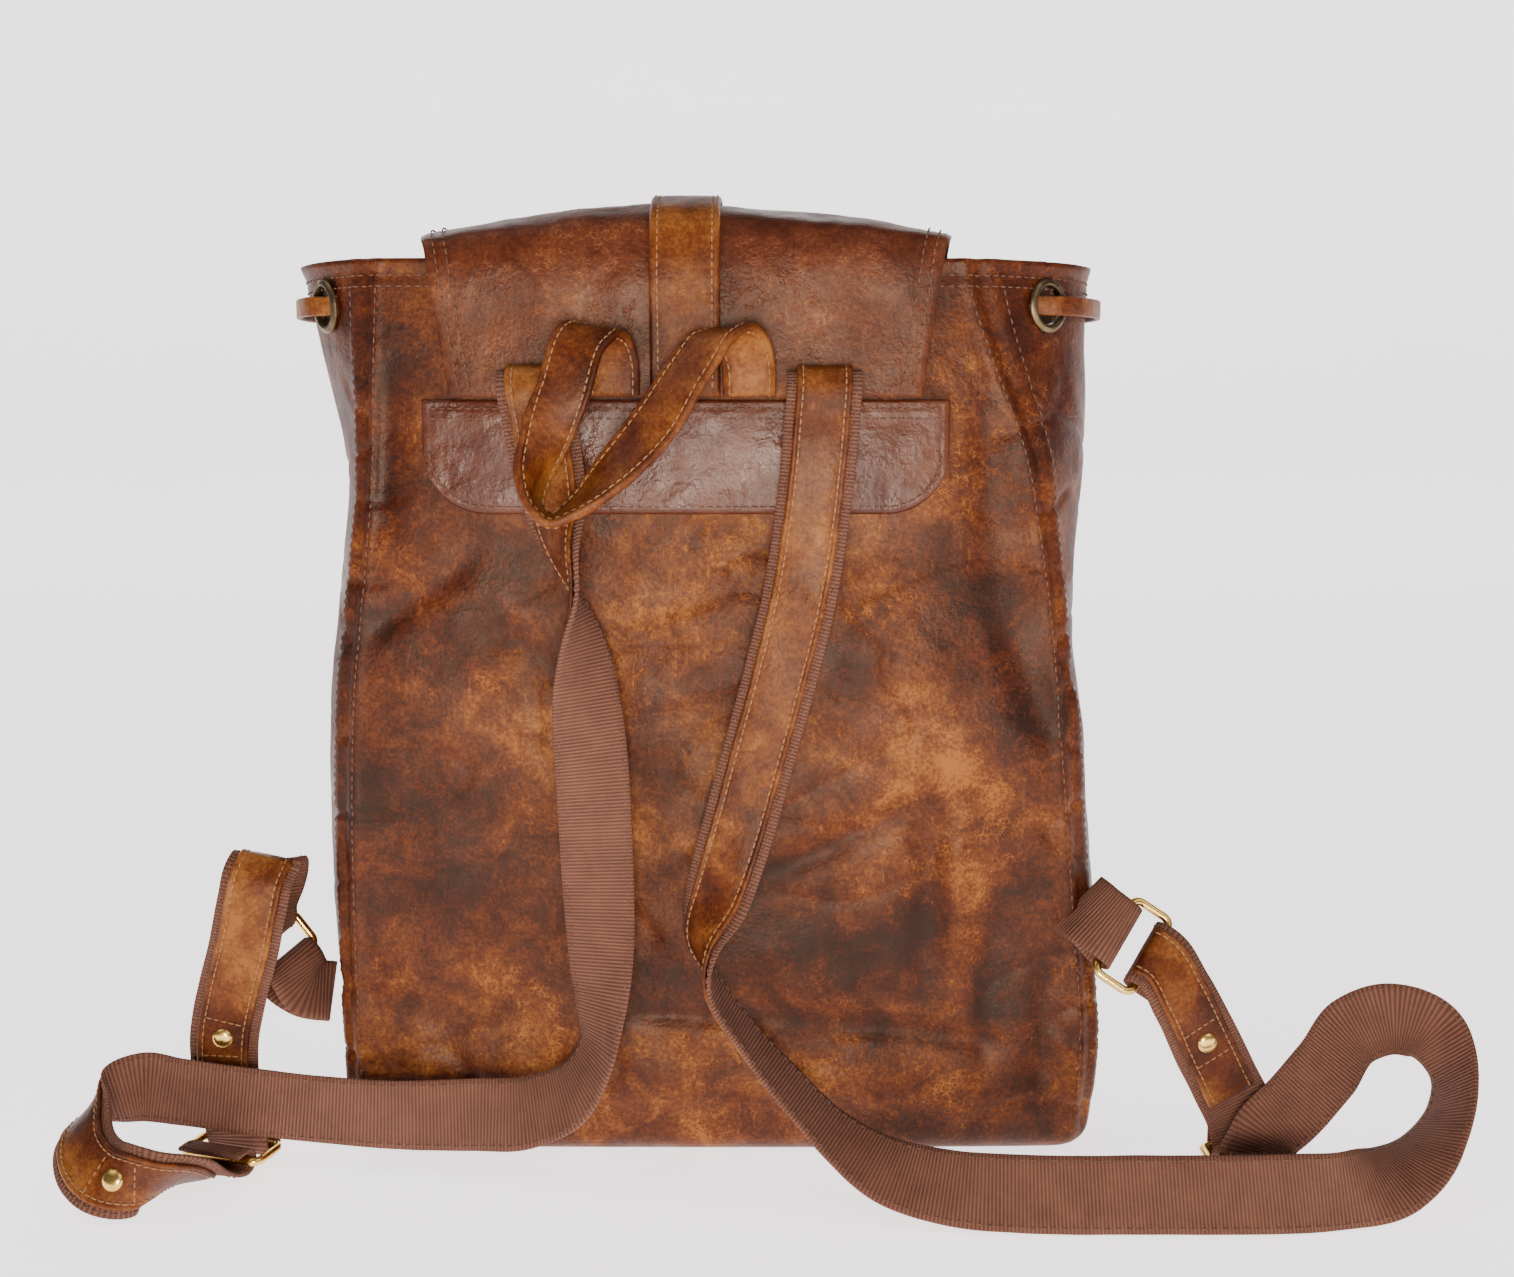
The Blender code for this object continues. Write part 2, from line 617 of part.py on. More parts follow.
def wrapped(centre, across, first, towards, radius, turn=180, steps=6):
    """Stations round a bar, from the direction first, turning towards the second direction."""
    centre, across = Vector(centre), Vector(across).normalized()
    first = Vector(first)
    first = (first - across * first.dot(across)).normalized()
    towards = Vector(towards)
    towards = (towards - across * towards.dot(across) - first * towards.dot(first)).normalized()
    stations = []
    for i in range(steps + 1):
        angle = radians(turn) * i / steps
        spot = centre + (first * cos(angle) + towards * sin(angle)) * radius
        stations.append((tuple(spot), tuple(across)))
    return stations


def ring(name, bar, across, along):
    """A rectangular wire ring. bar is the middle of its first bar, and along points to its second bar."""
    across = Vector(across).normalized()
    along = Vector(along)
    along = (along - across * along.dot(across)).normalized()
    curve = bpy.data.curves.new(name, "CURVE")
    curve.dimensions = "3D"
    curve.bevel_depth = WIRE_RADIUS
    curve.bevel_resolution = 2
    curve.render_resolution_u = 0
    corner_steps = 3
    half_length = RING_LENGTH / 2
    spots = []
    for quarter, (sx, sy) in enumerate([(1, 1), (-1, 1), (-1, -1), (1, -1)]):
        cx = sx * (RING_HALF_WIDTH - RING_CORNER)
        cy = sy * (half_length - RING_CORNER)
        for i in range(corner_steps + 1):
            angle = pi / 2 * (quarter + i / corner_steps)
            spots.append((cx + RING_CORNER * cos(angle), cy + RING_CORNER * sin(angle) + half_length))
    spline = curve.splines.new("POLY")
    spline.points.add(len(spots) - 1)
    for point, (x, y) in zip(spline.points, spots):
        place = across * x + along * y
        point.co = (place.x, place.y, place.z, 1)
    spline.use_cyclic_u = True
    wire = bpy.data.objects.new(name, curve)
    wire.location = bar
    PARTS.objects.link(wire)
    curve.materials.append(MATERIALS["brass"])
    return wire


def second_bar(bar, across, along):
    across = Vector(across).normalized()
    along = Vector(along)
    along = (along - across * along.dot(across)).normalized()
    return Vector(bar) + along * RING_LENGTH


def anchor_loop(name, root, bar, across):
    """Webbing folded round the bar, both ends at the root."""
    root, bar = Vector(root), Vector(bar)
    run = (bar - root).normalized()
    across = Vector(across).normalized()
    sideways = across.cross(run).normalized()
    fold = wrapped(bar, across, sideways, run, WRAP_RADIUS)
    first = (tuple(root + sideways * 0.0022), tuple(across))
    last = (tuple(root - sideways * 0.0022), tuple(across))
    ribbon(name, [first] + fold + [last], WEBBING_WIDTH, WEBBING, "webbing", 16)


def stud(name, stations, t, offset):
    """A low brass cap on a strap's leather face."""
    spot, across, normal = strap_frame(stations, t)
    work = bmesh.new()
    bmesh.ops.create_cone(
        work, cap_ends=True, segments=16, radius1=STUD_RADIUS, radius2=STUD_RADIUS * 0.75, depth=STUD_HEIGHT
    )
    mesh = bpy.data.meshes.new(name)
    work.to_mesh(mesh)
    work.free()
    cap = add_object(name, mesh, "brass")
    cap.matrix_world = Matrix.Translation(spot + normal * (offset + STUD_HEIGHT / 2)) @ normal.to_track_quat(
        "Z", "Y"
    ).to_matrix().to_4x4()
    return cap


def tab_top(bar, across, along, under):
    """Stations of a lower strap's end round the second bar of its anchor ring, tail first."""
    across = Vector(across).normalized()
    centre = second_bar(bar, across, along)
    down = Vector((0, 0, -1)) if under else -(centre - Vector(bar))
    down = (down - across * down.dot(across)).normalized()
    face = down.cross(across) if under else across.cross(down)
    first = -face.normalized()
    fold = wrapped(centre, across, first, down, WRAP_RADIUS)
    tail = Vector(fold[0][0]) - Vector(down) * TAB_TAIL
    return [(tuple(tail), tuple(across))] + fold


def bar_end(bar, across, first, towards):
    """Stations of a strap's end folded round a bar, with a short tail."""
    fold = wrapped(bar, across, first, towards, WRAP_RADIUS)
    back = Vector(towards) - Vector(across).normalized() * Vector(towards).dot(Vector(across).normalized())
    tail = Vector(fold[-1][0]) - back.normalized() * END_TAIL
    return fold + [(tuple(tail), fold[-1][1])]


def strap_routes():
    """Whole middle lines of the two shoulder straps and the two lower straps, with their folded ends."""
    left_along = (Vector(LEFT_TAB_BAR) - Vector(LEFT_STRAP_BAR)).normalized()
    down = Vector((0, 0, -1))
    return {
        "left_strap": LEFT_STRAP + bar_end(LEFT_STRAP_BAR, LEFT_SLIDER_ACROSS, down, left_along),
        "right_strap": RIGHT_STRAP
        + [(place, (-1, 0, 0)) for place, _ in bar_end(RIGHT_STRAP_BAR, RIGHT_SLIDER_ACROSS, (0, 1, 0), down)],
        "left_tab": tab_top(LEFT_ANCHOR_BAR, LEFT_ANCHOR_ACROSS, LEFT_ANCHOR_ALONG, True)
        + LEFT_TAB
        + bar_end(LEFT_TAB_BAR, LEFT_SLIDER_ACROSS, -left_along, down),
        "right_tab": tab_top(RIGHT_ANCHOR_BAR, RIGHT_ANCHOR_ACROSS, RIGHT_ANCHOR_ALONG, False)
        + RIGHT_TAB
        + bar_end(RIGHT_TAB_BAR, RIGHT_SLIDER_ACROSS, (0, -1, 0), down),
    }


# Lengthwise steps of each strap, the steps where its leather facing starts and ends, and the step of its stud
FACINGS = {
    "left_strap": (140, 0, 107, 98),
    "right_strap": (140, 0, 109, 101),
    "left_tab": (52, 22, 35, 32),
    "right_tab": (44, 13, 24, 21),
}


def make_straps():
    stud_offset = LEATHER_OFFSET + STRAP_LEATHER / 2 + STUD_AIR
    routes = strap_routes()
    for name, (steps, start, end, stud_step) in FACINGS.items():
        route = routes[name]
        ribbon(f"{name}_webbing", route, WEBBING_WIDTH, WEBBING, "webbing", steps, columns=4)
        ribbon(
            f"{name}_leather", route, STRAP_LEATHER_WIDTH, STRAP_LEATHER, "tan_leather", end - start,
            LEATHER_OFFSET, start / steps, end / steps, columns=3,
        )
        stud(f"{name}_stud", route, stud_step / steps, stud_offset)
    for side, bar, tab_bar, across in (
        ("left", LEFT_STRAP_BAR, LEFT_TAB_BAR, LEFT_SLIDER_ACROSS),
        ("right", RIGHT_STRAP_BAR, RIGHT_TAB_BAR, RIGHT_SLIDER_ACROSS),
    ):
        ring(f"{side}_slider_ring", bar, across, Vector(tab_bar) - Vector(bar))


def make_anchors():
    anchor_loop("left_anchor_loop", LEFT_ANCHOR_ROOT, LEFT_ANCHOR_BAR, LEFT_ANCHOR_ACROSS)
    anchor_loop("right_anchor_loop", RIGHT_ANCHOR_ROOT, RIGHT_ANCHOR_BAR, RIGHT_ANCHOR_ACROSS)
    ring("left_anchor_ring", LEFT_ANCHOR_BAR, LEFT_ANCHOR_ACROSS, LEFT_ANCHOR_ALONG)
    ring("right_anchor_ring", RIGHT_ANCHOR_BAR, RIGHT_ANCHOR_ACROSS, RIGHT_ANCHOR_ALONG)


# Stretches of the handle's middle line: its two sewn ends and the free loop between its two folds
HANDLE_PIECES = {
    "handle_left_end": (0.0, 0.136, 6),
    "handle": (0.180, 0.820, 44),
    "handle_right_end": (0.864, 1.0, 6),
}


def make_handle():
    pieces = {
        name: ribbon(name, HANDLE, HANDLE_WIDTH, HANDLE_THICKNESS, "tan_leather", steps, start=start, end=end)
        for name, (start, end, steps) in HANDLE_PIECES.items()
    }
    hinge_axis("handle_hinge_axis", HANDLE_HINGE, [pieces["handle"]])


# Eyelets, as places along the shell's outline
EYELETS = {
    "eyelet_gusset_right": 1.20,
    "eyelet_front_right_outer": 2.16,
    "eyelet_front_right_inner": 2.39,
    "eyelet_front_left_inner": 2.61,
    "eyelet_front_left_outer": 2.84,
    "eyelet_gusset_left": 3.80,
}


def eyelet_frame(s):
    reach = EYELET_OUTER
    aside = reach / side_length(int(s), EYELET_Z)
    sideways = shell_point(s + aside, EYELET_Z) - shell_point(s - aside, EYELET_Z)
    upward = shell_point(s, EYELET_Z + reach) - shell_point(s, EYELET_Z - reach)
    return shell_point(s, EYELET_Z), sideways.cross(upward).normalized()


def make_eyelets(panels):
    for name, s in EYELETS.items():
        spot, outward = eyelet_frame(s)
        turn = outward.to_track_quat("Z", "Y").to_matrix().to_4x4()
        bpy.ops.mesh.primitive_torus_add(
            major_segments=20,
            minor_segments=6,
            major_radius=(EYELET_OUTER + EYELET_HOLE) / 2,
            minor_radius=(EYELET_OUTER - EYELET_HOLE) / 2,
        )
        eyelet = bpy.context.object
        eyelet.name = name
        for holder in list(eyelet.users_collection):
            holder.objects.unlink(eyelet)
        PARTS.objects.link(eyelet)
        flatten = EYELET_THICKNESS / (EYELET_OUTER - EYELET_HOLE)
        eyelet.data.transform(Matrix.Diagonal((1, 1, flatten, 1)))
        eyelet.data.shade_smooth()
        eyelet.data.materials.append(MATERIALS["antique_brass"])
        eyelet.matrix_world = Matrix.Translation(spot + outward * (EYELET_THICKNESS / 2 + EYELET_AIR)) @ turn
        cut_hole(panels, s, spot, turn)


def cut_hole(panels, s, spot, turn):
    panel = panels[{1: "right_gusset", 2: "front_panel", 3: "left_gusset"}[int(s)]]
    work = bmesh.new()
    bmesh.ops.create_cone(
        work, cap_ends=True, segments=16, radius1=EYELET_HOLE + 0.0004, radius2=EYELET_HOLE + 0.0004, depth=0.02
    )
    mesh = bpy.data.meshes.new("hole")
    work.to_mesh(mesh)
    work.free()
    cutter = add_object(f"hole_{s}", mesh, "dark_leather", CUTTERS)
    cutter.matrix_world = Matrix.Translation(spot) @ turn
    cutter.hide_render = True
    cutter.display_type = "WIRE"
    cut = panel.modifiers.new("hole", "BOOLEAN")
    cut.operation = "DIFFERENCE"
    cut.object = cutter


OUTSIDE = 0.0055
TAIL_Y = 0.0825
INSIDE = -0.0072
SLEEVE_HALF_WIDTH = 0.0150
SLEEVE_HALF_DEPTH = 0.0024
SLEEVE_THICKNESS = 0.0015
SLEEVE_HEIGHT = 0.022
SLEEVE_Z = 0.318


def drawstring_stations():
    """The thong's middle line: places along the outline with the distance from the leather, tail to tail."""
    middle = -LEATHER / 2
    step = 0.013

    def reach(s, distance):
        return s + distance / side_length(int(s), EYELET_Z)

    def crossing(s, from_offset, to_offset):
        return [
            (reach(s, -step), from_offset),
            (reach(s, -step * 0.4), from_offset * 0.85 + middle * 0.15),
            (s, middle),
            (reach(s, step * 0.4), to_offset * 0.85 + middle * 0.15),
            (reach(s, step), to_offset),
        ]

    def spread(start, end, offset, count):
        return [(start + (end - start) * i / count, offset) for i in range(1, count)]

    inner_right, outer_right = EYELETS["eyelet_front_right_inner"], EYELETS["eyelet_front_right_outer"]
    inner_left, outer_left = EYELETS["eyelet_front_left_inner"], EYELETS["eyelet_front_left_outer"]
    gusset_right, gusset_left = EYELETS["eyelet_gusset_right"], EYELETS["eyelet_gusset_left"]
    outside_left = [2.93, 2.97, 2.996, 3.01, 3.07, 3.2, 3.35, 3.5, 3.63]
    outside_right = [5.37, 5.5, 5.65, 5.8, 5.93, 5.99, 6.004, 6.03, 6.07]
    run = crossing(inner_left, OUTSIDE, INSIDE)
    run += crossing(outer_left, INSIDE, OUTSIDE)
    run += [(s, OUTSIDE) for s in outside_left]
    run += crossing(gusset_left, OUTSIDE, INSIDE)
    run += [(3.95, INSIDE), (4.04, INSIDE)] + spread(4.04, 4.96, INSIDE, 8) + [(4.96, INSIDE), (5.06, INSIDE)]
    run += crossing(gusset_right + 4, INSIDE, OUTSIDE)
    run += [(s, OUTSIDE) for s in outside_right]
    run += crossing(outer_right + 4, OUTSIDE, INSIDE)
    run += crossing(inner_right + 4, INSIDE, OUTSIDE)
    stations = []
    for s, offset in run:
        stations.append((tuple(shell_point(s % 4, EYELET_Z, offset)), (0, 0, 1)))
    return stations


def make_drawstring():
    stations = drawstring_stations()
    left_tail = [
        ((-0.0072, TAIL_Y, 0.262), (-1, 0, 0)),
        ((-0.0072, TAIL_Y, 0.300), (-1, 0, 0)),
        ((-0.0072, TAIL_Y, 0.332), (-1, 0, 0)),
        ((-0.0080, TAIL_Y, 0.346), (-0.97, 0, 0.20)),
        ((-0.0115, TAIL_Y - 0.001, 0.3585), (-0.80, 0, 0.60)),
    ]
    right_tail = [((-x, y, z), (ax, ay, -az)) for (x, y, z), (ax, ay, az) in reversed(left_tail)]
    flipped = [(place, (-ax, -ay, -az)) for place, (ax, ay, az) in right_tail]
    ribbon(
        "drawstring", left_tail + stations + flipped, THONG_WIDTH, THONG_THICKNESS, "tan_leather", 170
    )
    make_drawstring_slider(TAIL_Y)


def make_drawstring_slider(middle_y):
    """A leather sleeve round both tails."""

    def shape(u, v):
        angle = 2 * pi * v
        x = SLEEVE_HALF_WIDTH * max(-1, min(1, 1.6 * cos(angle)))
        y = SLEEVE_HALF_DEPTH * max(-1, min(1, 1.6 * sin(angle)))
        return Vector((x, middle_y + y, SLEEVE_Z + SLEEVE_HEIGHT * (0.5 - u)))

    mapped_sheet("drawstring_slider", 1, 16, shape, SLEEVE_THICKNESS, "tan_leather", side=1.0)


panels = make_shell()
make_base()
make_lining()
make_yoke()
make_flap()
make_handle()
make_straps()
make_anchors()
make_eyelets(panels)
make_drawstring()
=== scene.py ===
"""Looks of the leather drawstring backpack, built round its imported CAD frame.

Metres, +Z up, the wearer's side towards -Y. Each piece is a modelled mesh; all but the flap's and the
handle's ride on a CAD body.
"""

from math import cos, pi, radians, sin

import bmesh
import bpy
import numpy as np
from mathutils import Euler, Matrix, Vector, noise


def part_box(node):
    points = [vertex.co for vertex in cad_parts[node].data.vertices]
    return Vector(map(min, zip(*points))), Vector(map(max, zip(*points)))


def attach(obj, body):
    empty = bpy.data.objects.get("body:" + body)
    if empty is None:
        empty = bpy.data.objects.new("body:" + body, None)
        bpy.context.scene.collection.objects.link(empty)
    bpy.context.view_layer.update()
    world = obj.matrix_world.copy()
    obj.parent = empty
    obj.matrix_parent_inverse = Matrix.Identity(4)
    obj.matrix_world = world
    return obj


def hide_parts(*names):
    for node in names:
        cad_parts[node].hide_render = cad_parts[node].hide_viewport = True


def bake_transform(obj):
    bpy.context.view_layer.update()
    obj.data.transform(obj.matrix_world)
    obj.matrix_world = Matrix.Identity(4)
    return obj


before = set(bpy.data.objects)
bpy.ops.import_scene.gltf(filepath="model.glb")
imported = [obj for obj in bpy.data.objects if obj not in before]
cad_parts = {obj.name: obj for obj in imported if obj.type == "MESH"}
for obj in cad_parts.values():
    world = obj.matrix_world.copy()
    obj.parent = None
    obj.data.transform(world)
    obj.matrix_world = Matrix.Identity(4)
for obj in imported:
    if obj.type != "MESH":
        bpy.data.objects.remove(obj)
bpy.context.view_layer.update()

# Body shell: corner curves as (height, x, y), the same as the CAD's. BULGE and FLARE go side by side
RIM_HEIGHT = 0.385
LEATHER = 0.0024
BASE_ROUND = 0.012
BACK_LEFT = [
    (0.0, -0.148, -0.055),
    (0.10, -0.150, -0.056),
    (0.20, -0.146, -0.057),
    (0.27, -0.137, -0.057),
    (0.34, -0.132, -0.057),
    (0.385, -0.129, -0.056),
]
BACK_RIGHT = [
    (0.0, 0.172, -0.055),
    (0.06, 0.175, -0.056),
    (0.13, 0.167, -0.057),
    (0.25, 0.156, -0.057),
    (0.31, 0.144, -0.057),
    (0.35, 0.126, -0.056),
    (0.385, 0.115, -0.055),
]
FRONT_RIGHT = [
    (0.0, 0.168, 0.066),
    (0.12, 0.168, 0.068),
    (0.25, 0.160, 0.068),
    (0.385, 0.154, 0.064),
]
FRONT_LEFT = [
    (0.0, -0.150, 0.066),
    (0.12, -0.152, 0.068),
    (0.25, -0.148, 0.068),
    (0.385, -0.152, 0.064),
]
CORNERS = [BACK_LEFT, BACK_RIGHT, FRONT_RIGHT, FRONT_LEFT]
INWARD = [(1, 1), (-1, 1), (-1, -1), (1, -1)]
BULGE = [0.004, 0.012, 0.008, 0.014]
FLARE = [0.0, 0.034, 0.0, 0.024]
FLARE_START = [0.0, 0.220, 0.0, 0.285]

# Yoke and flap
YOKE_TOP = 0.3270
YOKE_DEPTH = 0.0465
YOKE_HALF_WIDTH = 0.108
YOKE_CORNER = 0.026
YOKE_THICKNESS = 0.0020
HINGE_Z = 0.3865
FLAP_THICKNESS = 0.0020
FLAP_PROFILE = [
    (-0.0625, 0.3275),
    (-0.0625, 0.350),
    (-0.0625, 0.3865),
    (-0.0585, 0.398),
    (-0.046, 0.405),
    (-0.010, 0.4085),
    (0.035, 0.4065),
    (0.072, 0.400),
    (0.091, 0.385),
    (0.0965, 0.355),
    (0.0970, 0.29),
    (0.0960, 0.215),
]
FLAP_HALF_WIDTH = [(0.0, 0.096), (0.09, 0.109), (0.20, 0.118), (0.30, 0.123), (0.40, 0.120)]
FLAP_ARCH = 0.60
FLAP_START = 0.0006
FLAP_END_WIDTH = 0.12
FLAP_CORNER = 0.045
STRAP_HALF_WIDTH = 0.0142
FLAP_STRAP_OFFSET = 0.0022

# Straps and hardware
WEBBING_WIDTH = 0.030
WEBBING = 0.0015
STRAP_LEATHER_WIDTH = 0.0225
STRAP_LEATHER = 0.0018
FACING_LIFT = (WEBBING + STRAP_LEATHER) / 2 + 0.0001
HANDLE_WIDTH = 0.0215
HANDLE_THICKNESS = 0.0034
THONG_WIDTH = 0.008
THONG_THICKNESS = 0.0022
WIRE_RADIUS = 0.0018
RING_HALF_WIDTH = 0.0186
RING_LENGTH = 0.018
RING_CORNER = 0.004
WRAP_RADIUS = 0.0046
TAB_TAIL = 0.010
END_TAIL = 0.007
EYELET_OUTER = 0.0115
EYELET_HOLE = 0.0078
EYELET_Z = 0.366

# Strap routes: places along the middle line, each with the direction across the strap
LEFT_STRAP = [
    ((-0.060, -0.0672, 0.3285), (1, 0, 0)),
    ((-0.060, -0.0678, 0.3340), (1, 0, 0)),
    ((-0.060, -0.0713, 0.3380), (1, 0, 0)),
    ((-0.060, -0.0748, 0.3340), (1, 0, 0)),
    ((-0.058, -0.0755, 0.3200), (1, -0.05, 0)),
    ((-0.055, -0.0765, 0.3030), (1, -0.2, 0)),
    ((-0.052, -0.0780, 0.287), (0.91, -0.41, 0)),
    ((-0.049, -0.0810, 0.270), (0.60, -0.80, 0)),
    ((-0.043, -0.0830, 0.250), (0.10, -1.00, 0)),
    ((-0.041, -0.0830, 0.232), (-0.45, -0.89, 0)),
    ((-0.040, -0.0820, 0.207), (-0.86, -0.51, 0)),
    ((-0.038, -0.0800, 0.173), (-0.99, -0.15, 0)),
    ((-0.037, -0.0780, 0.139), (-1.00, 0, 0)),
    ((-0.036, -0.0780, 0.104), (-0.95, 0.30, 0)),
    ((-0.036, -0.0820, 0.078), (-0.75, 0.66, 0)),
    ((-0.038, -0.0840, 0.058), (-0.45, 0.85, 0.25)),
    ((-0.047, -0.0840, 0.042), (-0.25, 0.72, 0.62)),
    ((-0.066, -0.0800, 0.031), (-0.05, 0.50, 0.85)),
    ((-0.093, -0.0740, 0.027), (0, 0.25, 0.97)),
    ((-0.124, -0.0720, 0.026), (0, 0.05, 1.00)),
    ((-0.159, -0.0705, 0.028), (0, 0, 1.00)),
    ((-0.190, -0.0700, 0.0315), (-0.05, 0, 1.00)),
    ((-0.217, -0.0690, 0.0350), (-0.05, 0, 1.00)),
    ((-0.234, -0.0690, 0.0370), (0.25, 0.10, 0.96)),
    ((-0.247, -0.0760, 0.034), (0.52, 0.05, 0.85)),
    ((-0.250, -0.0880, 0.029), (0.74, 0.10, 0.66)),
    ((-0.245, -0.1020, 0.022), (0.72, 0.22, 0.65)),
    ((-0.232, -0.1120, 0.0170), (0.62, 0.28, 0.73)),
    ((-0.218, -0.1120, 0.0160), (0.60, 0.06, 0.79)),
    ((-0.2095, -0.1015, 0.0130), (0.76, -0.18, 0.62)),
    ((-0.2050, -0.0885, 0.0070), (0.92, -0.28, 0.25)),
    ((-0.2010, -0.0780, 0.0040), (0.95, -0.30, 0)),
]
RIGHT_STRAP = [
    ((0.056, -0.0672, 0.3285), (1, 0, 0)),
    ((0.056, -0.0678, 0.3340), (1, 0, 0)),
    ((0.056, -0.0713, 0.3380), (1, 0, 0)),
    ((0.056, -0.0748, 0.3340), (1, 0, 0)),
    ((0.055, -0.0755, 0.3200), (1, 0, 0)),
    ((0.054, -0.0758, 0.307), (1, 0, 0)),
    ((0.051, -0.0750, 0.279), (1, 0, 0)),
    ((0.046, -0.0760, 0.247), (1, -0.10, 0)),
    ((0.038, -0.0765, 0.214), (1, -0.10, 0)),
    ((0.029, -0.0770, 0.181), (1, -0.10, 0)),
    ((0.020, -0.0790, 0.148), (0.98, -0.20, -0.10)),
    ((0.013, -0.0820, 0.125), (0.89, -0.45, -0.10)),
    ((0.007, -0.0850, 0.107), (0.51, -0.86, 0)),
    ((0.010, -0.0870, 0.092), (0, -1.00, 0)),
    ((0.026, -0.0910, 0.067), (-0.10, -0.99, -0.10)),
    ((0.043, -0.0960, 0.048), (-0.15, -0.97, -0.19)),
    ((0.062, -0.1020, 0.030), (-0.10, -0.93, -0.34)),
    ((0.083, -0.1090, 0.0185), (0, -0.80, -0.60)),
    ((0.107, -0.1150, 0.0145), (0, -0.65, -0.76)),
    ((0.134, -0.1190, 0.0140), (0, -0.50, -0.87)),
    ((0.164, -0.1210, 0.0145), (0, -0.45, -0.89)),
    ((0.188, -0.1220, 0.0150), (0, -0.45, -0.89)),
    ((0.216, -0.1220, 0.0150), (0, -0.45, -0.89)),
    ((0.244, -0.1210, 0.0150), (0.05, -0.40, -0.92)),
    ((0.265, -0.1180, 0.0150), (0.25, -0.25, -0.91)),
    ((0.286, -0.1100, 0.0160), (0.12, -0.82, -0.55)),
    ((0.305, -0.0980, 0.0240), (0.16, -0.98, -0.05)),
    ((0.319, -0.0840, 0.038), (0.26, -0.86, 0.42)),
    ((0.323, -0.0720, 0.050), (0.30, -0.58, 0.75)),
    ((0.317, -0.0640, 0.060), (0.26, -0.10, 0.95)),
    ((0.303, -0.0600, 0.064), (0.05, 0.26, 0.95)),
    ((0.286, -0.0600, 0.059), (-0.30, 0.30, 0.90)),
    ((0.271, -0.0690, 0.045), (-0.65, 0.20, 0.70)),
    ((0.256, -0.0740, 0.030), (-0.85, 0.12, 0.45)),
    ((0.2435, -0.0762, 0.0180), (-0.98, 0.03, 0.12)),
]
LEFT_TAB = [
    ((-0.1845, -0.0405, 0.1040), (0.55, 0.76, 0.25)),
    ((-0.1815, -0.0420, 0.1165), (0.72, 0.60, 0.12)),
    ((-0.1800, -0.0460, 0.1265), (0.86, 0.40, 0.00)),
    ((-0.1805, -0.0525, 0.1320), (0.93, 0.18, -0.14)),
    ((-0.1825, -0.0590, 0.1275), (0.96, 0.03, -0.25)),
    ((-0.1850, -0.0625, 0.1150), (0.95, 0, -0.32)),
    ((-0.1890, -0.0620, 0.0980), (0.94, 0, -0.35)),
    ((-0.1960, -0.0585, 0.0760), (0.94, 0, -0.35)),
    ((-0.2015, -0.0555, 0.0540), (0.94, 0, -0.33)),
    ((-0.2015, -0.0560, 0.0350), (0.95, -0.12, -0.20)),
    ((-0.1975, -0.0600, 0.0200), (0.95, -0.27, -0.05)),
]
RIGHT_TAB = [
    ((0.2070, -0.0765, 0.0800), (0.66, 0.30, 0.64)),
    ((0.2170, -0.0735, 0.0610), (0.80, 0.16, 0.52)),
    ((0.2275, -0.0690, 0.0410), (0.88, 0.10, 0.42)),
    ((0.2370, -0.0658, 0.0220), (0.97, 0.03, 0.15)),
]
HANDLE = [
    ((-0.029, -0.0672, 0.3288), (1, 0, 0)),
    ((-0.029, -0.0682, 0.3400), (1, 0, 0.05)),
    ((-0.0315, -0.0740, 0.3505), (1, -0.05, -0.12)),
    ((-0.0345, -0.0800, 0.3535), (0.99, -0.07, -0.20)),
    ((-0.0385, -0.0870, 0.3515), (0.95, -0.10, -0.30)),
    ((-0.046, -0.0950, 0.3300), (0.92, -0.05, -0.38)),
    ((-0.0530, -0.0970, 0.3120), (0.78, 0.52, -0.34)),
    ((-0.0580, -0.0985, 0.2965), (0.45, 0.85, -0.25)),
    ((-0.0575, -0.1005, 0.2865), (0.15, 0.98, -0.10)),
    ((-0.0510, -0.1020, 0.2810), (0, 1.00, 0.05)),
    ((-0.0410, -0.1020, 0.2860), (-0.10, 0.95, 0.30)),
    ((-0.0270, -0.1005, 0.2990), (-0.32, 0.70, 0.60)),
    ((-0.0105, -0.0965, 0.3180), (-0.52, 0.50, 0.70)),
    ((0.003, -0.0910, 0.3390), (-0.70, 0.60, 0.35)),
    ((0.0125, -0.0860, 0.3515), (-0.88, 0.42, -0.10)),
    ((0.0180, -0.0800, 0.3535), (-0.94, 0.30, -0.12)),
    ((0.0225, -0.0740, 0.3505), (-1, 0.15, -0.10)),
    ((0.0255, -0.0690, 0.3420), (-1, 0, 0)),
    ((0.026, -0.0672, 0.3288), (-1, 0, 0)),
]

# Rings: the middle of the first bar, the direction across, the direction to the second bar, and the root of
# an anchor ring's loop
LEFT_ANCHOR = (
    (-0.1775, -0.0385, 0.0800),
    (0.45, 0.80, 0.30),
    (-0.55, 0.05, 0.75),
    (-0.1690, -0.0400, 0.0710),
)
RIGHT_ANCHOR = (
    (0.1800, -0.0660, 0.1040),
    (0.55, 0.46, 0.69),
    (0.62, -0.35, -0.74),
    (0.1715, -0.0625, 0.1110),
)
LEFT_SEAM_WAY = (0.90, 0.30, -0.30)
RIGHT_SEAM_WAY = (-0.45, 0.85, 0.25)
SEAM_TAIL = 0.011
LEFT_SLIDER = ((-0.2000, -0.0740, 0.0080), (0.95, -0.30, 0), (0.0055, 0.0172, 0))
RIGHT_SLIDER = ((0.2400, -0.0800, 0.0075), (1, 0, 0), (0, 0.018, 0))
LEFT_TAB_BAR = (-0.1945, -0.0568, 0.0080)
RIGHT_TAB_BAR = (0.2400, -0.0620, 0.0075)

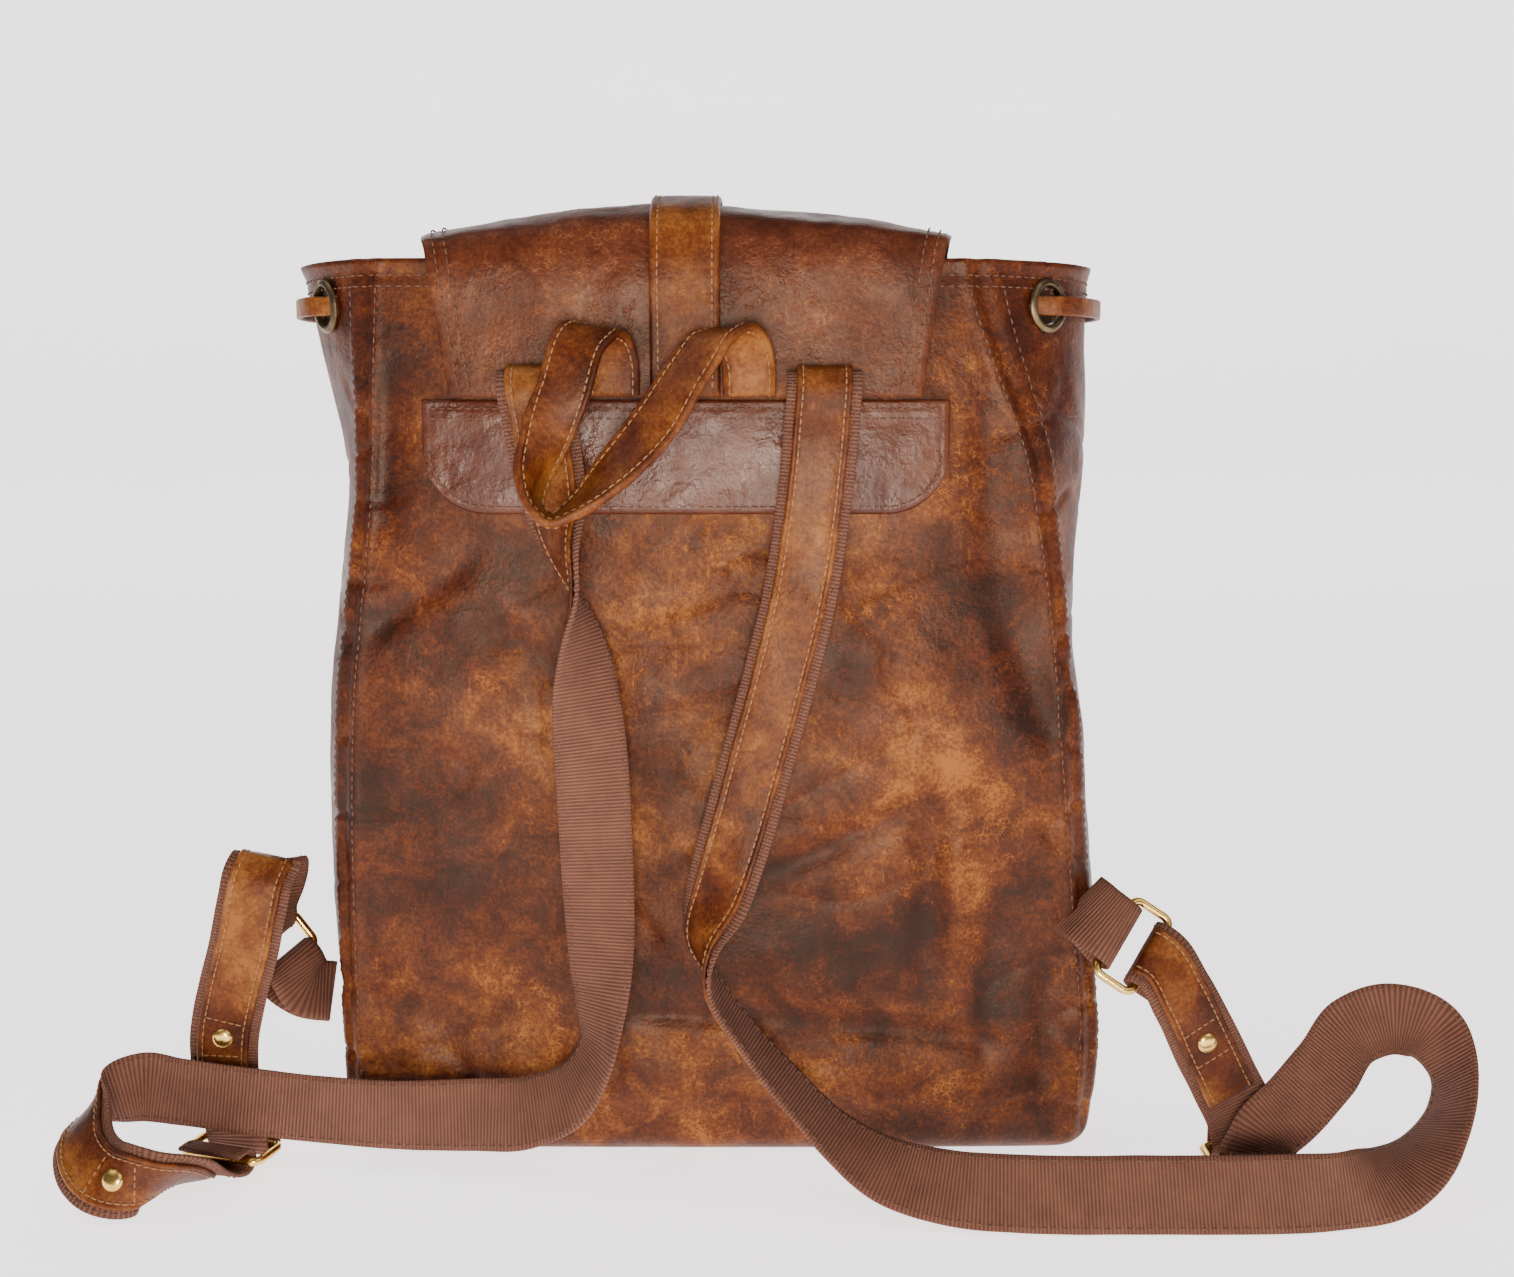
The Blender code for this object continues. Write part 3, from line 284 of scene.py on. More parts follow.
# Where the straps' leather facings start and end, and where their studs are, as shares of the route
FACINGS = {
    "left_strap": (0.0, 107 / 140, 98 / 140),
    "right_strap": (0.0, 109 / 140, 101 / 140),
    "left_tab": (22 / 52, 35 / 52, 32 / 52),
    "right_tab": (13 / 44, 24 / 44, 21 / 44),
}

EYELETS = {
    "eyelet_gusset_right": 1.20,
    "eyelet_front_right_outer": 2.16,
    "eyelet_front_right_inner": 2.39,
    "eyelet_front_left_inner": 2.61,
    "eyelet_front_left_outer": 2.84,
    "eyelet_gusset_left": 3.80,
}
THONG_OUTSIDE = 0.0055
THONG_INSIDE = -0.0072
TAIL_Y = 0.0825
SLEEVE_Z = 0.318
SLEEVE_HEIGHT = 0.022

# Sewing: how far each row of stitches is from its edge, and the distance from stitch to stitch
RIM_ROWS = (0.0075, 0.0115)
SEAM_ROW = 0.0065
YOKE_ROW = 0.0032
YOKE_TOP_ROWS = (0.0035, 0.0075)
FLAP_ROWS = (0.0042, 0.0088)
FLAP_STRAP_ROW = 0.0032
FLAP_STRAP_END_ROW = 0.0035
STRAP_ROW = 0.0027
WEBBING_ROW = 0.0022
BODY_PITCH = 0.0040
YOKE_PITCH = 0.0036
FLAP_PITCH = 0.0038
HANDLE_PITCH = 0.0034
STRAP_PITCH = 0.0032
WEBBING_PITCH = 0.0042

# Grids of the large sheets: columns on the back, right gusset, front and left gusset, and steps in height
SHELL_COLUMNS = (140, 56, 140, 56)
SHELL_STEP = 0.0022
BASE_MIDDLE = (0.010, 0.006, 0.0)
BASE_ROWS = 12
LINING_COLUMNS = (80, 34, 80, 34)
LINING_STEP = 0.004
LINING_OFFSET = -0.0078
LINING_LOW = 0.0125
LINING_TOP = 0.335
LINING_THICKNESS = 0.0006

# Camera: level with the mouth of the bag, a little right of its middle, looking down
CAMERA_PLACE = (0.029, -0.740, 0.3245)
CAMERA_PITCH = 8.0
CAMERA_LENS = 39.3

SEED = Vector((3.7, 1.9, 8.3))


# ---------------------------------------------------------------- curves and frames


def unit(v):
    v = np.asarray(v, float)
    return v / np.linalg.norm(v, axis=-1, keepdims=True)


def smooth_curve(points, t, spacing=None):
    """A smooth curve through points, read at the values t from 0 to len(points) - 1."""
    points = np.asarray(points, float)
    t = np.atleast_1d(np.asarray(t, float))
    last = len(points) - 1
    if spacing is None:
        spacing = np.linalg.norm(np.diff(points, axis=0), axis=1)
    spacing = np.where(spacing == 0, 1, spacing)
    slopes = np.diff(points, axis=0) / spacing[:, None]
    tangents = np.empty_like(points)
    before, after = spacing[:-1, None], spacing[1:, None]
    tangents[1:-1] = (slopes[1:] * before + slopes[:-1] * after) / (before + after)
    tangents[0], tangents[-1] = slopes[0], slopes[-1]
    i = np.clip(t.astype(int), 0, last - 1)
    f = (t - i)[:, None]
    here = spacing[i][:, None]
    return (
        (2 * f**3 - 3 * f**2 + 1) * points[i]
        + (f**3 - 2 * f**2 + f) * here * tangents[i]
        + (3 * f**2 - 2 * f**3) * points[i + 1]
        + (f**3 - f**2) * here * tangents[i + 1]
    )


def run_lengths(points):
    """The length along a line of points, at each of them."""
    steps = np.linalg.norm(np.diff(np.asarray(points, float), axis=0), axis=1)
    return np.concatenate([[0], np.cumsum(steps)])


def hump(distance, width, power=2):
    """1 at no distance, falling smoothly to nothing beyond the width."""
    return np.exp(-((distance / width) ** power))


class Route:
    """The middle line of a strap with its frame: places, runs, directions across and face normals."""

    def __init__(self, stations, start=0.0, end=1.0, step=0.0016):
        last = len(stations) - 1
        places = np.array([place for place, _ in stations], float)
        acrosses = unit([across for _, across in stations])
        fine = np.linspace(start * last, end * last, 60 * last)
        line = smooth_curve(places, fine)
        length = run_lengths(line)
        count = max(int(length[-1] / step), 4)
        t = np.interp(np.linspace(0, length[-1], count), length, fine)
        spacing = np.linalg.norm(np.diff(places, axis=0), axis=1)
        self.place = smooth_curve(places, t)
        reach = 0.03
        ahead = smooth_curve(places, np.minimum(t + reach, last))
        behind = smooth_curve(places, np.maximum(t - reach, 0))
        self.run = unit(ahead - behind)
        across = smooth_curve(acrosses, t, spacing)
        across -= self.run * np.sum(across * self.run, axis=1, keepdims=True)
        self.across = unit(across)
        self.normal = np.cross(self.run, self.across)
        self.length = np.linspace(0, length[-1], count)
        self.share = t / last

    def at(self, across, lift, i):
        """The point at a distance across and above the middle line, at step i."""
        return self.place[i] + self.across[i] * across + self.normal[i] * lift

    def index(self, share):
        """The step nearest to a share of the whole route."""
        return int(np.argmin(np.abs(self.share - share)))


def wrapped(centre, across, first, towards):
    """Stations half round a bar, from the direction first, turning towards the second direction."""
    steps = 6
    centre, across = np.array(centre), unit(across)
    first, towards = np.array(first, float), np.array(towards, float)
    first = unit(first - across * (first @ across))
    towards = unit(towards - across * (towards @ across) - first * (towards @ first))
    angles = [pi * i / steps for i in range(steps + 1)]
    return [(centre + (first * cos(a) + towards * sin(a)) * WRAP_RADIUS, across) for a in angles]


def ring_along(across, along):
    """The direction along, made square to the direction across."""
    across, along = unit(across), np.array(along, float)
    return unit(along - across * (along @ across))


def bar_end(bar, across, first, towards):
    """Stations of a strap's end folded round a bar, with its tail."""
    fold = wrapped(bar, across, first, towards)
    back = ring_along(across, towards)
    return fold + [(fold[-1][0] - back * END_TAIL, fold[-1][1])]


def tab_top(anchor, under):
    """Stations of a lower strap's end round the second bar of its anchor ring, tail first."""
    bar, across, along, _ = anchor
    across = unit(across)
    centre = np.array(bar) + ring_along(across, along) * RING_LENGTH
    down = np.array((0, 0, -1.0)) if under else -(centre - np.array(bar))
    down = ring_along(across, down)
    face = np.cross(down, across) if under else np.cross(across, down)
    fold = wrapped(centre, across, -face, down)
    return [(fold[0][0] - down * TAB_TAIL, across)] + fold


def strap_routes():
    """The whole middle lines of the four straps, as the CAD has them."""
    left_along = unit(np.array(LEFT_TAB_BAR) - np.array(LEFT_SLIDER[0]))
    down = np.array((0, 0, -1.0))
    right_end = bar_end(RIGHT_SLIDER[0], RIGHT_SLIDER[1], (0, 1, 0), down)
    return {
        "left_strap": LEFT_STRAP + bar_end(LEFT_SLIDER[0], LEFT_SLIDER[1], down, left_along),
        "right_strap": RIGHT_STRAP + [(place, (-1, 0, 0)) for place, _ in right_end],
        "left_tab": tab_top(LEFT_ANCHOR, True)
        + LEFT_TAB
        + bar_end(LEFT_TAB_BAR, LEFT_SLIDER[1], -left_along, down),
        "right_tab": tab_top(RIGHT_ANCHOR, False)
        + RIGHT_TAB
        + bar_end(RIGHT_TAB_BAR, RIGHT_SLIDER[1], (0, -1, 0), down),
    }


# ---------------------------------------------------------------- meshes


def wavy(points, scale, amount, seed=0.0):
    """Smooth noise at each point, about -amount to amount."""
    shift = SEED * (1 + seed)
    flat = np.asarray(points, float).reshape(-1, 3)
    values = np.array([noise.noise(Vector(p) * scale + shift) for p in flat])
    return (values * amount).reshape(np.asarray(points).shape[:-1])


def new_object(name, vertices, faces, uv=None):
    """A mesh object. uv gives each vertex a place on the flat hide, in metres."""
    mesh = bpy.data.meshes.new(name)
    mesh.from_pydata(np.asarray(vertices).reshape(-1, 3).tolist(), [], faces)
    if uv is not None:
        uv = np.asarray(uv, float).reshape(-1, 2)
        layer = mesh.uv_layers.new(name="flat")
        corners = np.empty(len(mesh.loops), int)
        mesh.loops.foreach_get("vertex_index", corners)
        layer.data.foreach_set("uv", uv[corners].astype(np.float32).ravel())
    mesh.shade_smooth()
    thing = bpy.data.objects.new(name, mesh)
    bpy.context.scene.collection.objects.link(thing)
    return thing


def grid_faces(rows, columns, closed=False, looped=False, first=0):
    """Faces of a grid of points. closed joins its last column to the first, looped its last row."""
    faces = []
    for r in range(rows if looped else rows - 1):
        low, high = first + r * columns, first + (r + 1) % rows * columns
        for c in range(columns if closed else columns - 1):
            d = (c + 1) % columns
            faces.append((low + c, low + d, high + d, high + c))
    return faces


def swept(name, route, profile, edit=None):
    """A solid with the closed profile (across, lift) carried along the route, its ends capped."""
    profile = np.asarray(profile, float)
    rows, columns = len(route.place), len(profile)
    across = np.broadcast_to(profile[:, 0], (rows, columns)).copy()
    lift = np.broadcast_to(profile[:, 1], (rows, columns)).copy()
    if edit:
        across, lift = edit(route, across, lift)
    points = (
        route.place[:, None]
        + route.across[:, None] * across[..., None]
        + route.normal[:, None] * lift[..., None]
    )
    faces = grid_faces(rows, columns, closed=True)
    faces.append(tuple(range(columns - 1, -1, -1)))
    faces.append(tuple(range((rows - 1) * columns, rows * columns)))
    uv = np.stack([across, np.broadcast_to(route.length[:, None], across.shape)], axis=-1)
    return new_object(name, points, faces, uv)


def strip_profile(width, thickness, rim=0.0006, groove=0.0004, lift=0.0):
    """Section of a leather strip: a raised rolled edge, a groove where the stitches run, a crowned middle."""
    w, t = width / 2, thickness / 2
    top = [
        (w - 0.0001, -t * 0.3),
        (w, t * 0.2),
        (w - 0.0003, t * 0.85),
        (w - 0.0009, t + rim * 0.55),
        (w - 0.0016, t + rim * 0.35),
        (w - 0.0024, t - groove * 0.5),
        (w - 0.0031, t - groove * 0.2),
        (w - 0.0042, t + rim * 0.15),
        (w * 0.35, t + rim * 0.25),
        (0, t + rim * 0.25),
    ]
    bottom = [(w - 0.0008, -t), (w * 0.5, -t), (0, -t)]
    right = list(reversed(bottom)) + top
    left = [(-x, y) for x, y in reversed(right[1:-1])]
    return [(x, y + lift) for x, y in right + left]


def flat_profile(width, thickness, columns=10):
    """Section of webbing: flat, with slightly rounded selvedges."""
    w, t = width / 2, thickness / 2
    xs = [w * (1 - 2 * i / columns) for i in range(columns + 1)]
    top = [(x * 0.985, t) for x in xs]
    bottom = [(-x * 0.985, -t) for x in xs]
    return [(w, 0)] + top + [(-w, 0)] + bottom


def rounded_profile(width, thickness, corner=0.0007):
    w, t = width / 2, thickness / 2
    spots = []
    for cx, cy, start in ((w, t, 0), (-w, t, 90), (-w, -t, 180), (w, -t, 270)):
        sx, sy = (1 if cx > 0 else -1), (1 if cy > 0 else -1)
        for k in range(4):
            angle = radians(start + 30 * k)
            spots.append((cx - sx * corner + corner * cos(angle), cy - sy * corner + corner * sin(angle)))
    return spots


def turned(name, profile, place, axis, segments=48):
    """A turned piece: a profile of (radius, height) about an axis through place."""
    angles = np.linspace(0, 2 * pi, segments, endpoint=False)
    profile = np.asarray(profile, float)
    ring = np.stack(
        [
            profile[:, 0][:, None] * np.cos(angles),
            profile[:, 0][:, None] * np.sin(angles),
            np.broadcast_to(profile[:, 1][:, None], (len(profile), segments)),
        ],
        axis=-1,
    )
    faces = grid_faces(len(profile), segments, closed=True)
    thing = new_object(name, ring, faces)
    thing.matrix_world = Vector(axis).to_track_quat("Z", "Y").to_matrix().to_4x4()
    thing.location = place
    return thing


def stitches(name, places, runs, normals, length=0.0026, radius=0.00034, sink=0.35):
    """Thread: one small rounded stitch at each place, lying along its run."""
    ring, along = 6, 6
    angles = np.linspace(0, 2 * pi, ring, endpoint=False)
    stations = np.linspace(-1, 1, along)
    section = np.sqrt(np.maximum(1 - (stations * 0.93) ** 4, 0.0))
    places, runs, normals = np.asarray(places), unit(runs), unit(normals)
    sides = unit(np.cross(normals, runs))
    normals = np.cross(runs, sides)
    humps = 1 - stations**2
    count = len(places)
    points = np.zeros((count, along, ring, 3))
    for a in range(along):
        centre = places + runs * stations[a] * length / 2 + normals * radius * (humps[a] - sink)[..., None]
        for k in range(ring):
            around = sides * cos(angles[k]) + normals * sin(angles[k])
            points[:, a, k] = centre + around * radius * section[a]
    faces = []
    for n in range(count):
        base = n * along * ring
        faces += grid_faces(along, ring, closed=True, first=base)
        faces.append(tuple(base + k for k in range(ring - 1, -1, -1)))
        faces.append(tuple(base + (along - 1) * ring + k for k in range(ring)))
    return new_object(name, points, faces)


def read_rows(rows, index):
    """Rows of three numbers read between whole indices."""
    steps = np.arange(len(rows))
    return np.stack([np.interp(index, steps, rows[:, k]) for k in range(3)], axis=1)


def spaced(line, pitch):
    """Places at an even pitch along a line of points, with their runs and the fractional indices."""
    line = np.asarray(line, float)
    length = run_lengths(line)
    marks = np.arange(pitch / 2, length[-1], pitch)
    index = np.interp(marks, length, np.arange(len(line)))
    runs = read_rows(line, index + 0.5) - read_rows(line, index - 0.5)
    return read_rows(line, index), runs, index


def stitch_rows(name, rows, pitch, **size):
    """Stitches along several rows, each given as (line of points, normals at those points)."""
    places, runs, normals = [], [], []
    for line, normal in rows:
        spots, run, index = spaced(line, pitch)
        places.append(spots)
        runs.append(run)
        normals.append(read_rows(np.asarray(normal, float), index))
    return stitches(name, np.concatenate(places), np.concatenate(runs), np.concatenate(normals), **size)


# ---------------------------------------------------------------- the bag's surface


def smoothed_table(table, z):
    """x and y of a corner curve at heights z, averaged a little up and down."""
    table = np.array(table)
    shifts = (-0.02, -0.01, 0.0, 0.01, 0.02)
    means = []
    for column in (1, 2):
        readings = [np.interp(z + shift, table[:, 0], table[:, column]) for shift in shifts]
        means.append(np.mean(readings, axis=0))
    return np.stack(means, axis=-1)


def shell_corner(k, z):
    """Corner k of the shell at heights z, drawn in near the floor where the base is rounded."""
    below = np.clip(BASE_ROUND - z, 0, BASE_ROUND)
    inset = BASE_ROUND - np.sqrt(BASE_ROUND**2 - below**2)
    return smoothed_table(CORNERS[k % 4], z) + np.array(INWARD[k % 4]) * inset[..., None]


def outline(s, z):
    """The shell's outer face.

    s runs 0-1 over the back, 1-2 over the right gusset, 2-3 over the front and 3-4 over the left gusset.
    """
    side = s.astype(int) % 4
    t = (s - np.floor(s))[..., None]
    corners = np.stack([shell_corner(k, z) for k in range(4)])
    start = np.take_along_axis(corners, side[None, ..., None], axis=0)[0]
    end = np.take_along_axis(corners, ((side + 1) % 4)[None, ..., None], axis=0)[0]
    chord = unit(end - start)
    outward = np.stack([chord[..., 1], -chord[..., 0]], axis=-1)
    belly = np.array(BULGE)[side] * np.sin(pi * np.clip(0.15 + 0.7 * z / RIM_HEIGHT, 0, 1))
    low = np.array(FLARE_START)[side]
    flare = np.array(FLARE)[side] * np.clip((z - low) / (RIM_HEIGHT - low), 0, None) ** 1.3
    fullness = belly + flare
    return start + (end - start) * t + outward * (4 * t * (1 - t) * fullness[..., None])


def shell_spot(s, z, offset=0.0):
    """Points at an offset from the shell's outer face."""
    s, z, offset = (np.asarray(value, float) for value in (s, z, offset))
    s, z, offset = np.broadcast_arrays(s % 4, z, offset)
    side = np.floor(s)
    reach = 0.01
    ahead = outline(np.minimum(s + reach, side + 0.9999), z)
    behind = outline(np.maximum(s - reach, side), z)
    along = unit(ahead - behind)
    place = outline(s, z)
    x = place[..., 0] + along[..., 1] * offset
    y = place[..., 1] - along[..., 0] * offset
    return np.stack([x, y, z], axis=-1)


def side_length(s):
    """The straight width of a side of the shell, at the eyelets' height."""
    z = np.array(EYELET_Z)
    return float(np.linalg.norm(shell_corner(int(s) + 1, z) - shell_corner(int(s), z)))


def back_face(x, z, offset):
    """Points of the back panel's outer face at x and z, moved out by offset."""
    x, z = np.broadcast_arrays(np.asarray(x, float), np.asarray(z, float))
    left, right = smoothed_table(BACK_LEFT, z)[..., 0], smoothed_table(BACK_RIGHT, z)[..., 0]
    spot = shell_spot(np.clip((x - left) / (right - left), 0.001, 0.999), z, offset)
    return np.stack([x, spot[..., 1], z], axis=-1)


def grid_normals(points, closed=False):
    """Outward normals of a grid whose columns run anticlockwise round the bag and whose rows run up."""
    if closed:
        round_run = np.roll(points, -1, axis=1) - np.roll(points, 1, axis=1)
    else:
        round_run = np.gradient(points, axis=1)
    up_run = np.gradient(points, axis=0)
    return unit(np.cross(round_run, up_run))


def slab(name, outer, inner, uv=None, closed=False):
    """A sheet of leather with thickness between two grids. Its inner faces have material slot 1."""
    rows, columns = outer.shape[:2]
    count = rows * columns
    faces = grid_faces(rows, columns, closed)
    outer_count = len(faces)
    faces += [tuple(count + i for i in reversed(face)) for face in faces]
    inner_count = len(faces)
    wrap = columns if closed else columns - 1
    for c in range(wrap):
        d = (c + 1) % columns
        faces.append((d, c, count + c, count + d))
        top = (rows - 1) * columns
        faces.append((top + c, top + d, count + top + d, count + top + c))
    if not closed:
        for r in range(rows - 1):
            a, b = r * columns, (r + 1) * columns
            faces.append((a, b, count + b, count + a))
            a, b = a + columns - 1, b + columns - 1
            faces.append((b, a, count + a, count + b))
    if uv is not None:
        uv = np.concatenate([uv.reshape(-1, 2), uv.reshape(-1, 2)])
    thing = new_object(name, np.concatenate([outer.reshape(-1, 3), inner.reshape(-1, 3)]), faces, uv)
    slots = np.zeros(len(faces), np.int32)
    slots[outer_count:inner_count] = 1
    thing.data.polygons.foreach_set("material_index", slots)
    return thing


# Folds of the worn leather on the back: two ends as (x, z), half width, height outwards. They also set the
# colour: painted shade along each crease and a painted highlight on each raised fold
BACK_FOLDS = [
    ((-0.030, 0.066), (0.047, 0.063), 0.0050, -0.0030),
    ((0.047, 0.063), (0.134, 0.052), 0.0050, -0.0030),
    ((-0.145, 0.072), (-0.073, 0.066), 0.0050, -0.0026),
    ((0.035, 0.130), (0.102, 0.160), 0.0060, -0.0022),
    ((0.005, 0.115), (0.073, 0.143), 0.0060, -0.0018),
    ((0.102, 0.169), (0.101, 0.072), 0.0070, -0.0026),
    ((0.132, 0.117), (0.127, 0.037), 0.0060, -0.0024),
    ((0.154, 0.090), (0.151, 0.027), 0.0050, -0.0020),
    ((-0.136, 0.228), (-0.089, 0.262), 0.0060, -0.0022),
    ((-0.086, 0.237), (-0.037, 0.203), 0.0070, -0.0022),
    ((-0.118, 0.351), (-0.126, 0.278), 0.0080, -0.0040),
    ((0.122, 0.327), (0.130, 0.245), 0.0080, -0.0034),
    ((0.130, 0.245), (0.156, 0.177), 0.0080, -0.0030),
    ((-0.050, 0.036), (0.110, 0.034), 0.0170, 0.0034),
    ((-0.130, 0.042), (-0.060, 0.038), 0.0150, 0.0026),
    ((0.114, 0.150), (0.116, 0.080), 0.0070, 0.0022),
    ((0.000, 0.245), (0.012, 0.200), 0.0300, 0.0022),
    ((-0.112, 0.150), (-0.098, 0.110), 0.0180, 0.0018),
]
DEEPEST = -0.0042
WIDE_SIDE = 0.31
NARROW_SIDE = 0.12
# Worn light and dark places on the back, as (x, z), reach, change of tone
BACK_TONES = [
    ((-0.109, 0.160), 0.022, -0.34),
    ((-0.119, 0.237), 0.016, -0.28),
    ((-0.052, 0.262), 0.014, -0.28),
    ((0.121, 0.245), 0.020, -0.30),
    ((0.143, 0.195), 0.018, -0.32),
    ((0.098, 0.108), 0.014, -0.30),
    ((-0.101, 0.117), 0.020, -0.30),
    ((-0.021, 0.081), 0.018, -0.28),
    ((0.073, 0.090), 0.020, -0.30),
    ((0.133, 0.072), 0.018, -0.32),
    ((-0.111, 0.245), 0.012, 0.30),
    ((-0.036, 0.220), 0.016, 0.24),
    ((0.073, 0.139), 0.014, 0.26),
    ((0.114, 0.177), 0.016, 0.30),
    ((-0.090, 0.081), 0.014, 0.26),
    ((-0.062, 0.195), 0.018, 0.24),
    ((-0.020, 0.139), 0.022, 0.24),
    ((0.089, 0.203), 0.016, 0.22),
    ((0.133, 0.262), 0.012, 0.20),
]


def segment_distance(x, z, a, b):
    """The distance of points from the line between a and b, and how far along it they are."""
    a, b = np.array(a), np.array(b)
    run = b - a
    share = np.clip(((x - a[0]) * run[0] + (z - a[1]) * run[1]) / (run @ run), 0, 1)
    return np.hypot(x - a[0] - share * run[0], z - a[1] - share * run[1]), share


def fold_height(s, place):
    """How far the worn leather stands out from the plain surface at each point."""
    x, z = place[..., 0], place[..., 2]
    on_back = (s < 1).astype(float) * np.clip(np.minimum(s, 1 - s) / 0.03, 0, 1)
    height = np.zeros_like(x)
    for a, b, half_width, amount in BACK_FOLDS:
        distance, share = segment_distance(x, z, a, b)
        taper = np.clip(np.minimum(share, 1 - share) / 0.18, 0.25, 1)
        height += on_back * amount * taper * hump(distance, half_width)
    height += wavy(place, 9, 0.0044) + wavy(place, 22, 0.0016, 1) + wavy(place, 60, 0.0004, 2)
    creases = np.abs(wavy(place * np.array((1, 1, 2.2)), 14, 1.0, 3))
    height += -0.0012 * hump(creases, 0.035)
    return np.where(height < 0, DEEPEST * np.tanh(height / DEEPEST), height)


def quiet(s, place):
    """Less movement where other pieces are sewn on: under the yoke, at the rim, the eyelets and the floor."""
    x, z = place[..., 0], place[..., 2]
    aside = np.clip((np.abs(x) - YOKE_HALF_WIDTH - 0.002) / 0.012, 0, 1)
    below = np.clip((YOKE_TOP - YOKE_DEPTH - 0.002 - z) / 0.012, 0, 1)
    keep = np.where(s < 1, np.maximum(aside, below), 1.0)
    keep *= np.clip((0.352 - z) / 0.035, 0.12, 1)
    keep *= np.clip(z / 0.030, 0, 1)
    return keep


def shell_tone_and_fold_shade(s, place):
    """Colour of the worn leather: 0 dark, 0.5 the common brown, 1 tan, with painted shade along the creases
    and a painted highlight on the raised folds.
    """
    x, z = place[..., 0], place[..., 2]
    tone = 0.42 + wavy(place, 13, 0.26, 5) + wavy(place, 34, 0.22, 6) + wavy(place, 80, 0.12, 7)
    on_back = (s < 1).astype(float)
    for (a, b), reach, change in BACK_TONES:
        tone += on_back * change * np.exp(-((x - a) ** 2 + (z - b) ** 2) / reach**2)
    # painted shade darkens each crease and a painted highlight lightens each raised fold, the broad bulge in
    # the middle of the back too
    for a, b, half_width, amount in BACK_FOLDS:
        distance, _ = segment_distance(x, z, a, b)
        tone += on_back * (0.12 if amount > 0 else -0.16) * hump(distance, half_width)
    return np.clip(tone, 0, 1)


def add_tone(thing, tone):
    """Keeps the tone of a slab's points in its mesh, the same for its outer and inner grids."""
    tone = np.concatenate([tone.ravel(), tone.ravel()])
    layer = thing.data.attributes.new("tone", "FLOAT", "POINT")
    layer.data.foreach_set("value", tone.astype(np.float32))


def shell_grid(rows_z, per_side, offset=0.0, soften=2.4):
    """Points round the bag at each height, averaged over soften columns so that the corners are round."""
    s = np.concatenate([k + (np.arange(n) + 0.5) / n for k, n in enumerate(per_side)])
    s, z = np.broadcast_arrays(s[None, :], np.asarray(rows_z)[:, None])
    points = shell_spot(s, z, offset)
    reach = int(soften * 3)
    weights = np.exp(-0.5 * (np.arange(-reach, reach + 1) / soften) ** 2)
    weights /= weights.sum()
    spread = sum(w * np.roll(points, k, axis=1) for w, k in zip(weights, range(-reach, reach + 1)))
    return s, spread


def seam_relief(s):
    """A groove at each corner seam with a lip on both sides, by distance along s."""
    away = np.abs(s - np.round(s)) * np.where((np.floor(s) % 2) == 0, WIDE_SIDE, NARROW_SIDE)
    groove, lip = hump(away, 0.0022), hump(away - 0.0050, 0.0025)
    return -0.0016 * groove + 0.0010 * lip


def make_shell():
    """The leather body: back, front, gussets and base with one worn surface.

    Gives the piece, and the places, normals, s and heights of its upright grid for the sewing.
    """
    edge = np.radians(np.linspace(0, 90, 9))
    rounded = BASE_ROUND * (1 - np.cos(edge))
    heights = np.concatenate([rounded, np.arange(BASE_ROUND + SHELL_STEP, RIM_HEIGHT, SHELL_STEP)])
    s, plain = shell_grid(heights, SHELL_COLUMNS)
    normals = grid_normals(plain, closed=True)
    level = np.clip((plain[..., 2] - 0.004) / 0.012, 0, 1)
    height = fold_height(s, plain) * quiet(s, plain) + seam_relief(s) * level
    rim = RIM_HEIGHT - plain[..., 2]
    height += 0.0007 * hump(rim, 0.004, 4) - 0.0005 * hump(rim - RIM_ROWS[0], 0.0012)
    outer = plain + normals * height[..., None]
    outer[..., 2] = np.maximum(outer[..., 2], 0.0)
    normals = grid_normals(outer, closed=True)
    inner = outer - normals * LEATHER
    middle = np.array(BASE_MIDDLE)
    factors = np.linspace(0.04, 0.96, BASE_ROWS)
    base_outer = middle + (outer[0] - middle) * factors[:, None, None]
    base_inner = base_outer + np.array((0, 0, LEATHER))
    all_outer = np.concatenate([base_outer, outer])
    all_inner = np.concatenate([base_inner, inner])
    thing = slab("shell", all_outer, all_inner, closed=True)
    s_all = np.concatenate([np.broadcast_to(s[0], (BASE_ROWS, s.shape[1])), s])
    tone = shell_tone_and_fold_shade(s_all, all_outer)
    add_tone(thing, tone)
    open_eyelets(thing)
    return thing, outer, normals, s, heights


def eyelet_frame(s):
    """The middle of an eyelet on the shell, and the direction outwards there."""
    aside = EYELET_OUTER / side_length(s)
    sideways = shell_spot(s + aside, EYELET_Z) - shell_spot(s - aside, EYELET_Z)
    upward = shell_spot(s, EYELET_Z + EYELET_OUTER) - shell_spot(s, EYELET_Z - EYELET_OUTER)
    return shell_spot(s, EYELET_Z), unit(np.cross(sideways, upward))


def open_eyelets(thing):
    """Takes out the faces inside each eyelet; the metal covers their ragged edge."""
    reach = EYELET_HOLE + 0.0012
    work = bmesh.new()
    work.from_mesh(thing.data)
    doomed = set()
    for s in EYELETS.values():
        spot = Vector(eyelet_frame(s)[0])
        doomed |= {face for face in work.faces if (face.calc_center_median() - spot).length < reach}
    bmesh.ops.delete(work, geom=list(doomed), context="FACES")
    work.to_mesh(thing.data)
    work.free()


